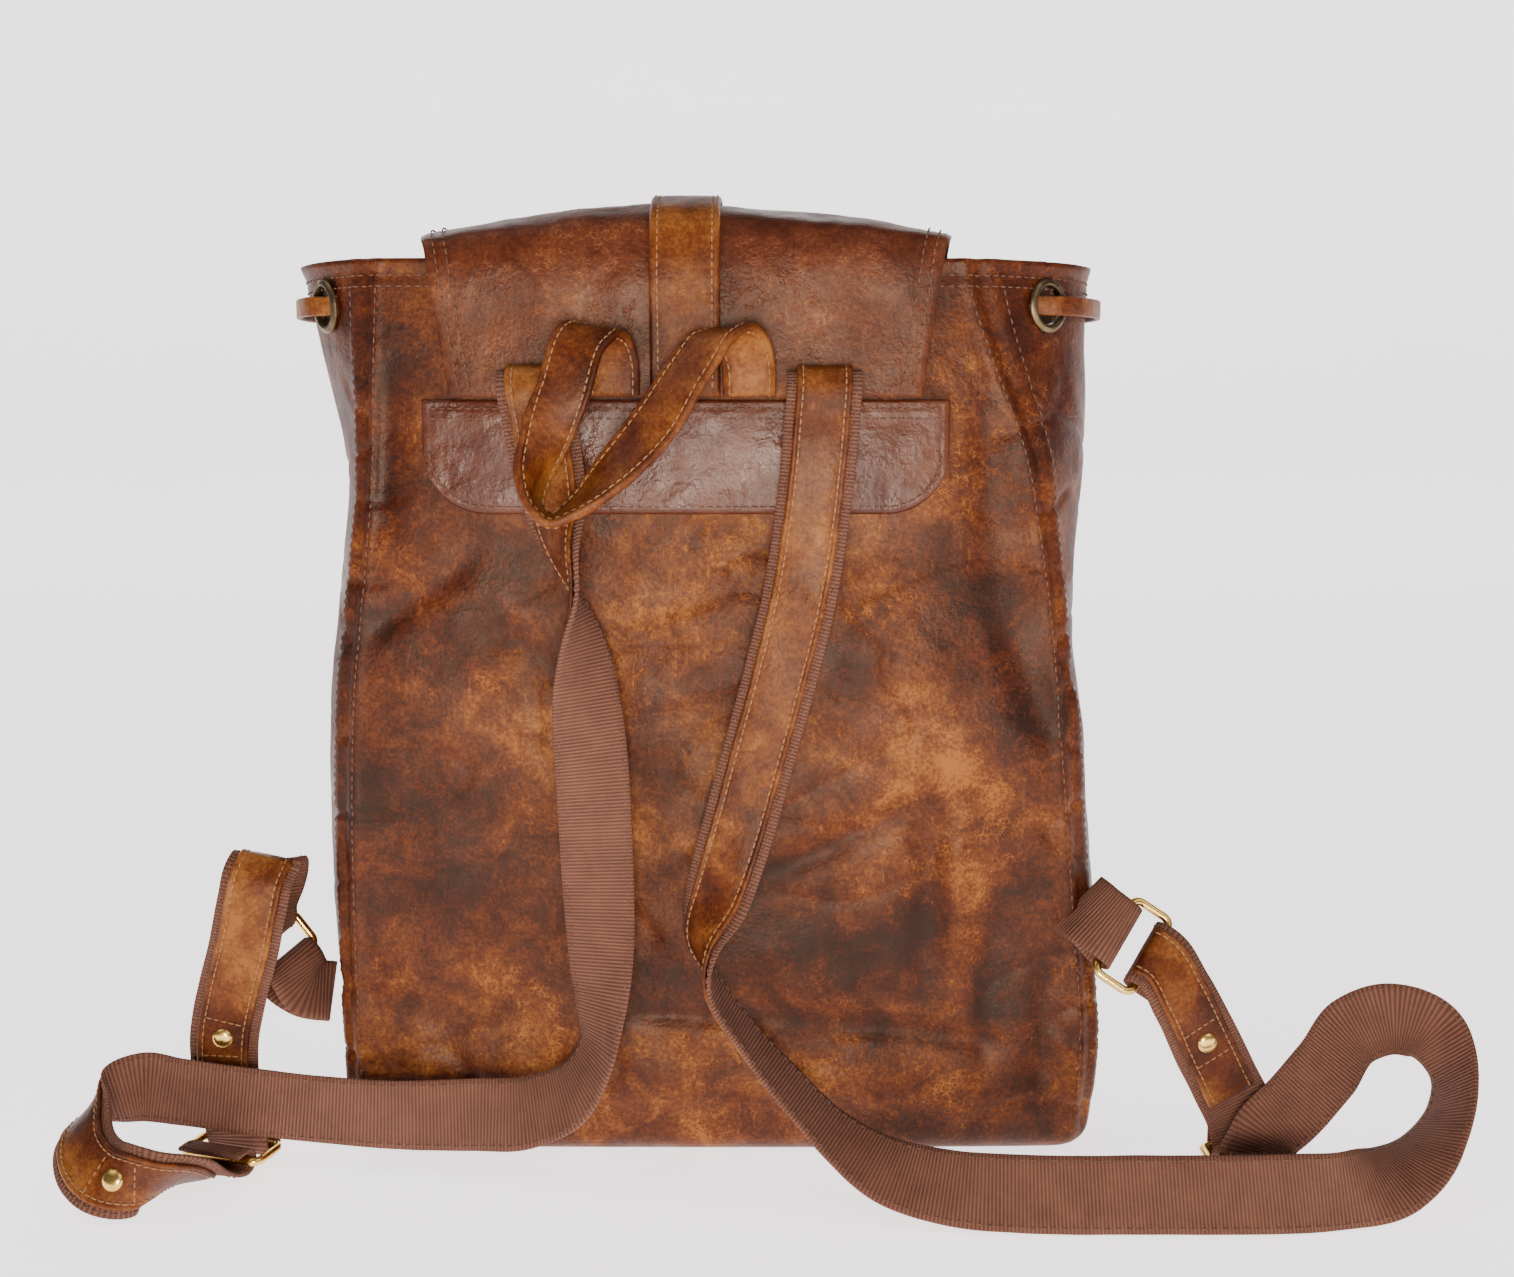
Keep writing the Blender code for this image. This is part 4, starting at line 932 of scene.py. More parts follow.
def make_lining():
    """Cotton lining with its own floor, following the shell inside."""
    heights = np.concatenate([[LINING_LOW], np.arange(0.016, LINING_TOP, LINING_STEP), [LINING_TOP]])
    _, points = shell_grid(heights, LINING_COLUMNS, LINING_OFFSET, 2.0)
    normals = grid_normals(points, closed=True)
    sag = wavy(points, 22, 0.0014, 11) + wavy(points, 60, 0.0007, 12) - 0.0010
    points = points + normals * np.minimum(sag, -0.0001)[..., None]
    middle = np.array((0.010, 0.006, 0.0130))
    floor = middle + (points[0] - middle) * np.linspace(0.04, 0.97, 10)[:, None, None]
    outer = np.concatenate([floor, points])
    down = np.zeros_like(floor) + (0, 0, -LINING_THICKNESS)
    inner = outer - np.concatenate([down, normals * LINING_THICKNESS])
    return slab("lining", outer, inner, closed=True)


# ---------------------------------------------------------------- yoke, flap, straps


def edge_fall(distance, reach=0.0016):
    """1 inside a piece, falling roundly to 0 at its edge."""
    x = np.clip(distance / reach, 0, 1)
    return np.sqrt(np.maximum(1 - (1 - x) ** 2, 0))


def yoke_lift(x):
    """How much higher the yoke's lower edge is at x, where its corner is rounded."""
    from_corner = np.clip(np.abs(x) - (YOKE_HALF_WIDTH - YOKE_CORNER), 0, YOKE_CORNER)
    return YOKE_CORNER - np.sqrt(YOKE_CORNER**2 - from_corner**2)


def yoke_point(x, v, offset):
    """A point of the yoke at x, v from 0 at its lower edge to 1 at its top, above the back panel."""
    lift = yoke_lift(x)
    z = YOKE_TOP - YOKE_DEPTH + lift + v * (YOKE_DEPTH - lift)
    return back_face(x, z, offset)


def make_yoke():
    """The glossy patch under the flap's fold, with its stitches."""
    u, v = np.meshgrid(np.linspace(-1, 1, 150), np.linspace(0, 1, 34))
    x = u * YOKE_HALF_WIDTH
    depth = YOKE_DEPTH - yoke_lift(x)
    inside = np.minimum(np.minimum(v * depth, (1 - v) * depth + 0.0006), (1 - np.abs(u)) * YOKE_HALF_WIDTH)
    outer = yoke_point(x, v, 0.0004 + (YOKE_THICKNESS + 0.0002) * edge_fall(inside))
    uneven = wavy(outer, 40, 0.0009, 21) + wavy(outer, 140, 0.0003, 22)
    groove = -0.0004 * hump(inside - YOKE_ROW, 0.0008)
    outer[..., 1] -= np.clip(uneven + 0.0003, -0.0004, 0.001) * edge_fall(inside, 0.006) + groove
    inner = yoke_point(x, v, 0.0002 + 0.0 * u)
    thing = slab("yoke", outer, inner, uv=np.stack([x, outer[..., 2]], axis=-1))
    count = 400
    x = np.linspace(-1, 1, count) * (YOKE_HALF_WIDTH - YOKE_ROW)
    # the lower row keeps its distance inside the rounded corners
    radius = YOKE_CORNER - YOKE_ROW
    corner = np.clip(np.abs(x) - (YOKE_HALF_WIDTH - YOKE_CORNER), 0, radius)
    z_low = YOKE_TOP - YOKE_DEPTH + YOKE_CORNER - np.sqrt(np.maximum(radius**2 - corner**2, 0))
    lines = [back_face(x, z_low, 0.0027)]
    lines += [back_face(x, np.full(count, YOKE_TOP - drop), 0.0029) for drop in YOKE_TOP_ROWS]
    rows = [(line, np.tile((0.0, -1.0, 0.0), (count, 1))) for line in lines]
    return thing, stitch_rows("yoke_stitches", rows, YOKE_PITCH)


FLAP_LENGTHS = run_lengths(FLAP_PROFILE)
FLAP_END = FLAP_LENGTHS[-1]


def flap_point(across, along, offset):
    """The flap's outer face at a distance across from its middle and along from the yoke."""
    shape = across.shape
    t = np.interp(along.ravel(), FLAP_LENGTHS, np.arange(len(FLAP_LENGTHS)))
    last = len(FLAP_PROFILE) - 1
    spot = smooth_curve(FLAP_PROFILE, t)
    reach = 0.02
    ahead = smooth_curve(FLAP_PROFILE, np.minimum(t + reach, last))
    behind = smooth_curve(FLAP_PROFILE, np.maximum(t - reach, 0))
    run = unit(ahead - behind)
    offset = np.broadcast_to(offset, shape).ravel()
    drop = FLAP_ARCH * np.maximum(spot[:, 1] - HINGE_Z, 0) * (across.ravel() / 0.11) ** 2
    y = spot[:, 0] - run[:, 1] * offset
    z = spot[:, 1] - drop + run[:, 0] * offset
    return np.stack([across.ravel(), y, z], axis=-1).reshape(*shape, 3)


def flap_width(along):
    """Half the flap's width at a distance along it."""
    table = np.array(FLAP_HALF_WIDTH)
    return np.interp(along, table[:, 0], table[:, 1])


def make_flap():
    """The flap's leather, from its seam above the yoke over the mouth and down the front."""
    u, v = np.meshgrid(np.linspace(-1, 1, 96), np.linspace(0, 1, 190))
    along = FLAP_START + (FLAP_END - FLAP_START) * v
    across = u * flap_width(along)
    reach = np.clip(np.abs(across) - (FLAP_END_WIDTH - FLAP_CORNER), 0, FLAP_CORNER)
    short = FLAP_CORNER - np.sqrt(FLAP_CORNER**2 - reach**2)
    along = FLAP_START + (FLAP_END - short - FLAP_START) * v
    inside = np.minimum((1 - np.abs(u)) * flap_width(along), (1 - v) * (FLAP_END - FLAP_START - short))
    plain = flap_point(across, along, 0.0)
    wave = wavy(plain, 14, 0.0018, 31) + wavy(plain, 45, 0.0010, 32) + wavy(plain, 130, 0.0003, 33)
    calm = np.clip((along - 0.010) / 0.03, 0.15, 1)
    groove = -0.0003 * hump(inside - 0.004, 0.0009) - 0.0003 * hump(inside - 0.009, 0.0009)
    rounded = -0.0008 * (1 - edge_fall(inside))
    outer = flap_point(across, along, np.minimum(wave, 0.0009) * calm + groove + rounded)
    inner = flap_point(across, along, -FLAP_THICKNESS + np.minimum(wave, 0.0009) * calm - rounded * 0.4)
    uv = np.stack([across, along], axis=-1)
    thing = slab("flap_cover", outer, inner, uv)
    tone = np.clip(0.5 + wavy(plain, 18, 0.26, 35) + wavy(plain, 50, 0.2, 36), 0, 1)
    add_tone(thing, tone)
    rows = []
    for inset in FLAP_ROWS:
        run = np.linspace(0.004, FLAP_END - inset, 500)
        for side in (-1, 1):
            # down the side, then round the front corner
            half = flap_width(run) - inset
            bend = np.clip(run - (FLAP_END - FLAP_CORNER), 0, FLAP_CORNER - inset)
            radius = FLAP_CORNER - inset
            half = half - (radius - np.sqrt(np.maximum(radius**2 - bend**2, 0)))
            rows.append(flap_row(side * half, run))
        middle = np.linspace(-1, 1, 120) * (FLAP_END_WIDTH - FLAP_CORNER)
        rows.append(flap_row(middle, np.full(120, FLAP_END - inset)))
    return thing, stitch_rows("flap_stitches", rows, FLAP_PITCH)


def flap_row(across, along, offset=0.0005):
    """A row of stitches on the flap: its line and the normals there."""
    low = flap_point(across, along, np.full_like(across, offset))
    high = flap_point(across, along, np.full_like(across, offset + 0.001))
    return low, unit(high - low)


def make_flap_strap():
    """The long narrow strap over the middle of the flap."""
    u, v = np.meshgrid(np.linspace(-1, 1, 22), np.linspace(0, 1, 200))
    start = 2 * FLAP_START
    along = start + (FLAP_END - start) * v
    across = u * STRAP_HALF_WIDTH
    inside = (1 - np.abs(u)) * STRAP_HALF_WIDTH
    relief = 0.0004 * hump(inside - 0.0012, 0.001) - 0.0005 * hump(inside - FLAP_STRAP_ROW, 0.0007)
    relief -= 0.0010 * (1 - edge_fall(inside, 0.0010))
    outer = flap_point(across, along, FLAP_STRAP_OFFSET + 0.0012 + relief)
    inner = flap_point(across, along, np.full_like(across, 0.0009))
    thing = slab("flap_centre_strap", outer, inner, np.stack([across, along], axis=-1))
    face = 0.0031
    row = STRAP_HALF_WIDTH - FLAP_STRAP_ROW
    run = np.linspace(0.004, FLAP_END - FLAP_STRAP_END_ROW, 500)
    rows = [flap_row(np.full(500, side * row), run, face) for side in (-1, 1)]
    rows.append(flap_row(np.linspace(-1, 1, 40) * row, np.full(40, FLAP_END - FLAP_STRAP_END_ROW), face))
    return thing, stitch_rows("flap_strap_stitches", rows, HANDLE_PITCH)


def rough_edges(seed, amount=0.0003):
    """Gives a swept strip slightly uneven edges and faces."""

    def edit(route, across, lift):
        points = route.place[:, None] + route.across[:, None] * across[..., None]
        change = wavy(points, 60, amount, seed)
        return across * (1 + change / 0.012), lift + wavy(points, 90, amount * 0.8, seed + 1) * np.sign(lift)

    return edit


def row_on(route, across, lift):
    """A row of stitches along a route: its line and the normals there."""
    line = route.place + route.across * across + route.normal * lift
    return line, route.normal * np.sign(lift)


def make_strap(name, stations, index):
    """One webbing strap with its leather facing, stitches, cross stitch and stud."""
    start, end, mark = FACINGS[name]
    whole = Route(stations)
    profile = flat_profile(WEBBING_WIDTH, WEBBING)
    webbing = swept(f"{name}_webbing", whole, profile, rough_edges(41 + index, 0.0002))
    facing = Route(stations, start, end)
    profile = strip_profile(STRAP_LEATHER_WIDTH, STRAP_LEATHER, lift=FACING_LIFT)
    strip = swept(f"{name}_leather", facing, profile, rough_edges(51 + index))
    face = FACING_LIFT + STRAP_LEATHER / 2
    inset = STRAP_LEATHER_WIDTH / 2 - STRAP_ROW
    rows = [row_on(facing, side * inset, face) for side in (-1, 1)]
    spot = facing.index(mark)
    beside = 5
    cross = np.linspace(-inset, inset, 14)
    for i in (max(spot - beside, 1), min(spot + beside, len(facing.place) - 3)):
        line = np.array([facing.at(a, face, i) for a in cross])
        rows.append((line, np.tile(facing.normal[i], (14, 1))))
    thread = stitch_rows(f"{name}_stitches", rows, STRAP_PITCH)
    hem = WEBBING_WIDTH / 2 - WEBBING_ROW
    edge_rows = [row_on(whole, side * hem, sign * WEBBING / 2) for side in (-1, 1) for sign in (1, -1)]
    hem_thread = stitch_rows(f"{name}_webbing_stitches", edge_rows, WEBBING_PITCH, radius=0.0003)
    cap = turned(f"{name}_stud", STUD_PROFILE, facing.at(0, face, spot), facing.normal[spot])
    return webbing, strip, thread, hem_thread, cap


# Section of a stud: radius and height, from its top to its edge
STUD_PROFILE = [
    (0.0001, 0.0021),
    (0.0012, 0.00205),
    (0.0026, 0.0018),
    (0.0037, 0.0013),
    (0.0044, 0.0006),
    (0.0046, 0.0001),
    (0.0044, -0.0004),
]


def make_handle():
    """The grab handle: one folded and stitched leather strap sewn under the flap's seam at both ends."""
    route = Route(HANDLE)
    profile = strip_profile(HANDLE_WIDTH, HANDLE_THICKNESS, rim=0.0005, groove=0.0005)
    handle = swept("grab_handle", route, profile, rough_edges(61, 0.0004))
    inset = HANDLE_WIDTH / 2 - STRAP_ROW
    half = HANDLE_THICKNESS / 2
    rows = [row_on(route, side * inset, sign * half) for side in (-1, 1) for sign in (1, -1)]
    return handle, stitch_rows("handle_stitches", rows, HANDLE_PITCH)


def make_anchor(name, anchor, seam_way):
    """Webbing folded round the ring's first bar, its ends going into the side seam."""
    bar, across, _, root = anchor
    bar, root = np.array(bar), np.array(root)
    across = unit(across)
    run = unit(bar - root)
    sideways = unit(np.cross(across, run))
    fold = wrapped(bar, across, sideways, run)
    tail = root + unit(seam_way) * SEAM_TAIL
    first = [(tail + sideways * 0.0009, across), (root + sideways * 0.0016, across)]
    last = [(root - sideways * 0.0016, across), (tail - sideways * 0.0009, across)]
    return swept(name, Route(first + fold + last, step=0.0009), flat_profile(WEBBING_WIDTH, WEBBING))


def make_ring(name, bar, across, along):
    """A rounded rectangle of brass wire."""
    across = unit(across)
    along = ring_along(across, along)
    facing = np.cross(across, along)
    spots = []
    for quarter, (sx, sy) in enumerate([(1, 1), (-1, 1), (-1, -1), (1, -1)]):
        cx, cy = sx * (RING_HALF_WIDTH - RING_CORNER), sy * (RING_LENGTH / 2 - RING_CORNER)
        for i in range(9):
            angle = pi / 2 * (quarter + i / 8)
            spots.append((cx + RING_CORNER * cos(angle), cy + RING_CORNER * sin(angle) + RING_LENGTH / 2))
    middle = np.array([np.array(bar) + across * x + along * y for x, y in spots])
    run = unit(np.roll(middle, -1, axis=0) - np.roll(middle, 1, axis=0))
    side = unit(np.cross(run, facing))
    angles = np.linspace(0, 2 * pi, 14, endpoint=False)
    points = middle[:, None] + WIRE_RADIUS * (
        side[:, None] * np.cos(angles)[None, :, None] + facing * np.sin(angles)[None, :, None]
    )
    rows, columns = points.shape[:2]
    return new_object(name, points, grid_faces(rows, columns, closed=True, looped=True))


# Section of an eyelet: radius and height, from its bore outwards
EYELET_PROFILE = [
    (0.0078, -0.0016),
    (0.0078, 0.0006),
    (0.0082, 0.0013),
    (0.0090, 0.0017),
    (0.0100, 0.0015),
    (0.0109, 0.0008),
    (0.0114, 0.0001),
    (0.0112, -0.0003),
]


def make_eyelets():
    """The eyelets' metal rings, in the order of EYELETS."""
    eyelets = []
    for name, s in EYELETS.items():
        spot, outward = eyelet_frame(s)
        eyelets.append(turned(f"{name}_ring", EYELET_PROFILE, spot + outward * 0.0009, outward, 56))
    return eyelets


def drawstring_stations():
    """The thong's middle line, from one tail round the bag to the other."""
    middle = -LEATHER / 2
    step = 0.013

    def crossing(s, from_offset, to_offset):
        """Through an eyelet, from one side of the leather to the other."""
        near, far = step * 0.4 / side_length(s % 4), step / side_length(s % 4)
        return [
            (s - far, from_offset),
            (s - near, from_offset * 0.85 + middle * 0.15),
            (s, middle),
            (s + near, to_offset * 0.85 + middle * 0.15),
            (s + far, to_offset),
        ]

    run = crossing(EYELETS["eyelet_front_left_inner"], THONG_OUTSIDE, THONG_INSIDE)
    run += crossing(EYELETS["eyelet_front_left_outer"], THONG_INSIDE, THONG_OUTSIDE)
    run += [(s, THONG_OUTSIDE) for s in (2.93, 2.97, 2.996, 3.01, 3.07, 3.2, 3.35, 3.5, 3.63)]
    run += crossing(EYELETS["eyelet_gusset_left"], THONG_OUTSIDE, THONG_INSIDE)
    run += [(s, THONG_INSIDE) for s in (3.95, 4.04, *np.linspace(4.155, 4.845, 7), 4.96, 5.06)]
    run += crossing(EYELETS["eyelet_gusset_right"] + 4, THONG_INSIDE, THONG_OUTSIDE)
    run += [(s, THONG_OUTSIDE) for s in (5.37, 5.5, 5.65, 5.8, 5.93, 5.99, 6.004, 6.03, 6.07)]
    run += crossing(EYELETS["eyelet_front_right_outer"] + 4, THONG_OUTSIDE, THONG_INSIDE)
    run += crossing(EYELETS["eyelet_front_right_inner"] + 4, THONG_INSIDE, THONG_OUTSIDE)
    round_bag = [(shell_spot(s, EYELET_Z, offset), (0, 0, 1)) for s, offset in run]
    left = [
        ((-0.0072, TAIL_Y, 0.262), (-1, 0, 0)),
        ((-0.0072, TAIL_Y, 0.300), (-1, 0, 0)),
        ((-0.0072, TAIL_Y, 0.332), (-1, 0, 0)),
        ((-0.0080, TAIL_Y, 0.346), (-0.97, 0, 0.20)),
        ((-0.0115, TAIL_Y - 0.001, 0.3585), (-0.80, 0, 0.60)),
    ]
    right = [((-x, y, z), across) for (x, y, z), across in reversed(left)]
    return left + round_bag + right


def make_drawstring():
    """The thong, and the leather sleeve round both its tails."""
    profile = rounded_profile(THONG_WIDTH, THONG_THICKNESS)
    thong = swept("drawstring_thong", Route(drawstring_stations()), profile)
    u, v = np.meshgrid(np.linspace(0, 2 * pi, 64, endpoint=False), np.linspace(0, 1, 14))

    def wall(extra):
        x = (0.0150 + extra) * np.clip(1.6 * np.cos(u), -1, 1)
        y = TAIL_Y + (0.0024 + extra) * np.clip(1.6 * np.sin(u), -1, 1)
        return np.stack([x, y, SLEEVE_Z + SLEEVE_HEIGHT * (v - 0.5)], axis=-1)

    sleeve = slab("drawstring_sleeve", wall(0.0015), wall(0.0), closed=True)
    return thong, sleeve


# ---------------------------------------------------------------- materials


class Look:
    """A Principled material with a few short ways to wire procedural nodes."""

    def __init__(self, name, roughness=0.5, metallic=0.0):
        self.material = bpy.data.materials.new(name)
        self.material.use_nodes = True
        self.tree = self.material.node_tree
        self.shader = self.tree.nodes["Principled BSDF"]
        self.shader.inputs["Roughness"].default_value = roughness
        self.shader.inputs["Metallic"].default_value = metallic
        self.place = self.tree.nodes.new("ShaderNodeTexCoord").outputs["Object"]

    def node(self, kind, **settings):
        made = self.tree.nodes.new(kind)
        for key, value in settings.items():
            setattr(made, key, value)
        return made

    def plug(self, value, socket):
        if isinstance(value, bpy.types.NodeSocket):
            self.tree.links.new(value, socket)
        else:
            socket.default_value = value

    def noise(self, scale, detail=3.0, roughness=0.55, vector=None, distortion=0.0):
        made = self.node("ShaderNodeTexNoise")
        self.plug(vector or self.place, made.inputs["Vector"])
        made.inputs["Scale"].default_value = scale
        made.inputs["Detail"].default_value = detail
        made.inputs["Roughness"].default_value = roughness
        made.inputs["Distortion"].default_value = distortion
        return made.outputs["Fac"]

    def colour_noise(self, scale):
        made = self.node("ShaderNodeTexNoise")
        self.plug(self.place, made.inputs["Vector"])
        made.inputs["Scale"].default_value = scale
        return made.outputs["Color"]

    def cells(self, scale, feature="DISTANCE_TO_EDGE", vector=None):
        made = self.node("ShaderNodeTexVoronoi", feature=feature)
        self.plug(vector or self.place, made.inputs["Vector"])
        made.inputs["Scale"].default_value = scale
        return made.outputs["Distance"]

    def stretched(self, x, y, z):
        made = self.node("ShaderNodeMapping")
        self.plug(self.place, made.inputs["Vector"])
        made.inputs["Scale"].default_value = (x, y, z)
        return made.outputs["Vector"]

    def sum(self, operation, a, b=0.0, c=0.0):
        made = self.node("ShaderNodeMath", operation=operation)
        self.plug(a, made.inputs[0])
        self.plug(b, made.inputs[1])
        self.plug(c, made.inputs[2])
        return made.outputs[0]

    def spread(self, value, low, high, to_low=0.0, to_high=1.0):
        made = self.node("ShaderNodeMapRange")
        self.plug(value, made.inputs["Value"])
        for socket, number in zip(("From Min", "From Max", "To Min", "To Max"), (low, high, to_low, to_high)):
            made.inputs[socket].default_value = number
        return made.outputs["Result"]

    def ramp(self, value, stops):
        made = self.node("ShaderNodeValToRGB")
        self.plug(value, made.inputs["Fac"])
        elements = made.color_ramp.elements
        elements[0].position, elements[-1].position = stops[0][0], stops[-1][0]
        for position, _ in stops[1:-1]:
            elements.new(position)
        for element, (_, colour) in zip(elements, stops):
            element.color = (*colour, 1)
        return made.outputs["Color"]

    def mix(self, share, a, b, blend="MIX"):
        made = self.node("ShaderNodeMix", data_type="RGBA", blend_type=blend)
        self.plug(share, made.inputs[0])
        self.plug(a if not isinstance(a, tuple) else (*a, 1), made.inputs[6])
        self.plug(b if not isinstance(b, tuple) else (*b, 1), made.inputs[7])
        return made.outputs[2]

    def attribute(self, name):
        return self.node("ShaderNodeAttribute", attribute_name=name).outputs["Fac"]

    def flat(self):
        """The two places on the flat hide: across and along, in metres."""
        split = self.node("ShaderNodeSeparateXYZ")
        self.plug(self.node("ShaderNodeUVMap", uv_map="flat").outputs["UV"], split.inputs[0])
        return split.outputs["X"], split.outputs["Y"]

    def bump(self, height, distance, strength=1.0, under=None):
        made = self.node("ShaderNodeBump")
        made.inputs["Strength"].default_value = strength
        made.inputs["Distance"].default_value = distance
        self.plug(height, made.inputs["Height"])
        if under:
            self.plug(under, made.inputs["Normal"])
        return made.outputs["Normal"]

    def finish(self, colour=None, roughness=None, normal=None):
        for value, name in ((colour, "Base Color"), (roughness, "Roughness"), (normal, "Normal")):
            if value is not None:
                self.plug(value if not isinstance(value, tuple) else (*value, 1), self.shader.inputs[name])
        return self.material


def leather(name, stops, grain=1.0, roughness=(0.34, 0.56), tone=None, crackle=0.42):
    """Waxed leather: smooth places beside crackled ones, light scratches and a broad warm sheen."""
    look = Look(name)
    look.shader.inputs["Specular IOR Level"].default_value = 0.30
    look.shader.inputs["Specular Tint"].default_value = (1.0, 0.78, 0.60, 1)
    if tone:
        base = look.attribute(tone)
    else:
        base = look.spread(look.noise(24, 4), 0.32, 0.68)
    mottle = look.spread(look.noise(60, 6, 0.68, distortion=0.8), 0.3, 0.7, -0.30, 0.30)
    value = look.sum("ADD", base, mottle)
    worn = look.spread(look.noise(26, 4, 0.6), 0.44, 0.60)
    bent = look.node("ShaderNodeVectorMath", operation="MULTIPLY_ADD")
    look.plug(look.colour_noise(140), bent.inputs[0])
    look.plug((0.0045, 0.0045, 0.0045), bent.inputs[1])
    look.plug(look.place, bent.inputs[2])
    cells = look.cells(430, vector=bent.outputs[0])
    broken = look.spread(look.noise(160, 3, 0.6), 0.46, 0.60)
    cracks = look.sum("MULTIPLY", look.spread(cells, 0.0, 0.14, 1.0, 0.0), look.sum("MULTIPLY", worn, broken))
    fine = look.spread(look.noise(620, 4, 0.7), 0.35, 0.65, -0.17, 0.17)
    value = look.sum("ADD", value, fine)
    value = look.sum("ADD", value, look.sum("MULTIPLY", cracks, crackle))
    streaks = look.noise(1.0, 2, 0.5, look.stretched(700, 700, 55), 1.2)
    value = look.sum("ADD", value, look.spread(streaks, 0.68, 0.74, 0.0, 0.26))
    colour = look.ramp(value, stops)
    rubbed = look.sum("ADD", look.noise(34, 4), look.sum("MULTIPLY", cracks, 0.22))
    rough = look.spread(rubbed, 0.36, 0.72, *roughness)
    grains = look.bump(look.noise(640, 3, 0.6), 0.00022 * grain)
    grains = look.bump(look.sum("MULTIPLY", cracks, -1.0), 0.00012 * grain, 1.0, grains)
    wrinkles = look.bump(look.noise(130, 5, 0.6), 0.00055 * grain, 1.0, grains)
    return look.finish(colour, rough, wrinkles)


BODY_STOPS = [
    (0.0, (0.014, 0.0020, 0.0007)),
    (0.28, (0.040, 0.0055, 0.0011)),
    (0.50, (0.076, 0.0135, 0.0021)),
    (0.74, (0.135, 0.0340, 0.0046)),
    (1.0, (0.270, 0.0880, 0.0140)),
]
FLAP_STOPS = [
    (0.0, (0.024, 0.0044, 0.0018)),
    (0.45, (0.064, 0.0125, 0.0046)),
    (0.75, (0.108, 0.0270, 0.0090)),
    (1.0, (0.210, 0.0660, 0.0220)),
]
STRAP_STOPS = [
    (0.0, (0.034, 0.0050, 0.0012)),
    (0.35, (0.080, 0.0150, 0.0028)),
    (0.65, (0.140, 0.0370, 0.0060)),
    (1.0, (0.250, 0.0860, 0.0160)),
]


def suede():
    """The rough inner side of the hide."""
    look = Look("leather_flesh_side", 0.92)
    stops = [(0.25, (0.090, 0.040, 0.020)), (0.75, (0.210, 0.110, 0.058))]
    colour = look.ramp(look.noise(260, 5, 0.7), stops)
    return look.finish(colour, None, look.bump(look.noise(900, 3, 0.7), 0.0003))


def glossy_leather():
    """The yoke: the same hide, polished, with a fine uneven surface."""
    look = Look("yoke_leather")
    look.shader.inputs["Specular IOR Level"].default_value = 0.45
    look.shader.inputs["Specular Tint"].default_value = (1.0, 0.86, 0.76, 1)
    value = look.sum("ADD", look.noise(26, 5, 0.6), look.spread(look.noise(200, 4), 0.3, 0.7, -0.10, 0.10))
    colour = look.ramp(value, FLAP_STOPS)
    rough = look.spread(look.noise(60, 4), 0.35, 0.7, 0.26, 0.46)
    fine = look.bump(look.noise(420, 4, 0.65), 0.00030)
    return look.finish(colour, rough, look.bump(look.noise(95, 5, 0.55), 0.0009, 1.0, fine))


def webbing_look():
    """Flat-woven strap: ribs across it and finer threads along it."""
    look = Look("webbing", 0.85)
    across, along = look.flat()
    ribs = look.spread(look.sum("SINE", look.sum("MULTIPLY", along, 2 * pi / 0.0015)), -1.0, 1.0)
    threads = look.spread(look.sum("SINE", look.sum("MULTIPLY", across, 2 * pi / 0.0008)), -1.0, 1.0)
    weave = look.sum("ADD", look.sum("MULTIPLY", ribs, 0.8), look.sum("MULTIPLY", threads, 0.2))
    worn = look.spread(look.noise(90, 4, 0.6), 0.3, 0.7, -0.16, 0.16)
    stops = [(0.0, (0.066, 0.0190, 0.0086)), (0.5, (0.128, 0.0430, 0.0215)), (1.0, (0.190, 0.0720, 0.0390))]
    colour = look.ramp(look.sum("ADD", weave, worn), stops)
    return look.finish(colour, None, look.bump(weave, 0.0004))


def cotton():
    """Plain woven lining cloth."""
    look = Look("lining_cotton", 0.95)
    waves = []
    for vector in (look.stretched(1500, 1500, 0), look.stretched(0, 0, 1500)):
        split = look.node("ShaderNodeSeparateXYZ")
        look.plug(vector, split.inputs[0])
        aside = look.sum("ADD", split.outputs["Y"], split.outputs["Z"])
        waves.append(look.sum("SINE", look.sum("ADD", split.outputs["X"], aside)))
    weave = look.spread(look.sum("MULTIPLY", waves[0], waves[1]), -1, 1)
    value = look.sum("ADD", look.sum("MULTIPLY", weave, 0.4), look.sum("MULTIPLY", look.noise(40, 4), 0.6))
    colour = look.ramp(value, [(0.2, (0.20, 0.145, 0.090)), (0.8, (0.36, 0.275, 0.180))])
    return look.finish(colour, None, look.bump(weave, 0.0002))


def metal(name, bright, dull, roughness):
    """Plated metal, a little duller and darker in patches."""
    look = Look(name, metallic=1.0)
    wear = look.spread(look.noise(140, 4, 0.6), 0.35, 0.65)
    colour = look.mix(wear, bright, dull)
    rough = look.spread(look.noise(260, 3), 0.3, 0.7, *roughness)
    return look.finish(colour, rough, look.bump(look.noise(500, 2), 0.00005))


def thread_look(name, low, high):
    """Waxed sewing thread."""
    look = Look(name, 0.75)
    colour = look.ramp(look.noise(300, 2), [(0.3, low), (0.7, high)])
    return look.finish(colour, None, look.bump(look.noise(2600, 2), 0.0001))


def board_look():
    """Pressed fibre board."""
    look = Look("fibre_board", 0.9)
    colour = look.ramp(look.noise(300, 4, 0.7), [(0.3, (0.16, 0.115, 0.075)), (0.7, (0.27, 0.205, 0.14))])
    return look.finish(colour, None, look.bump(look.noise(700, 3), 0.0002))


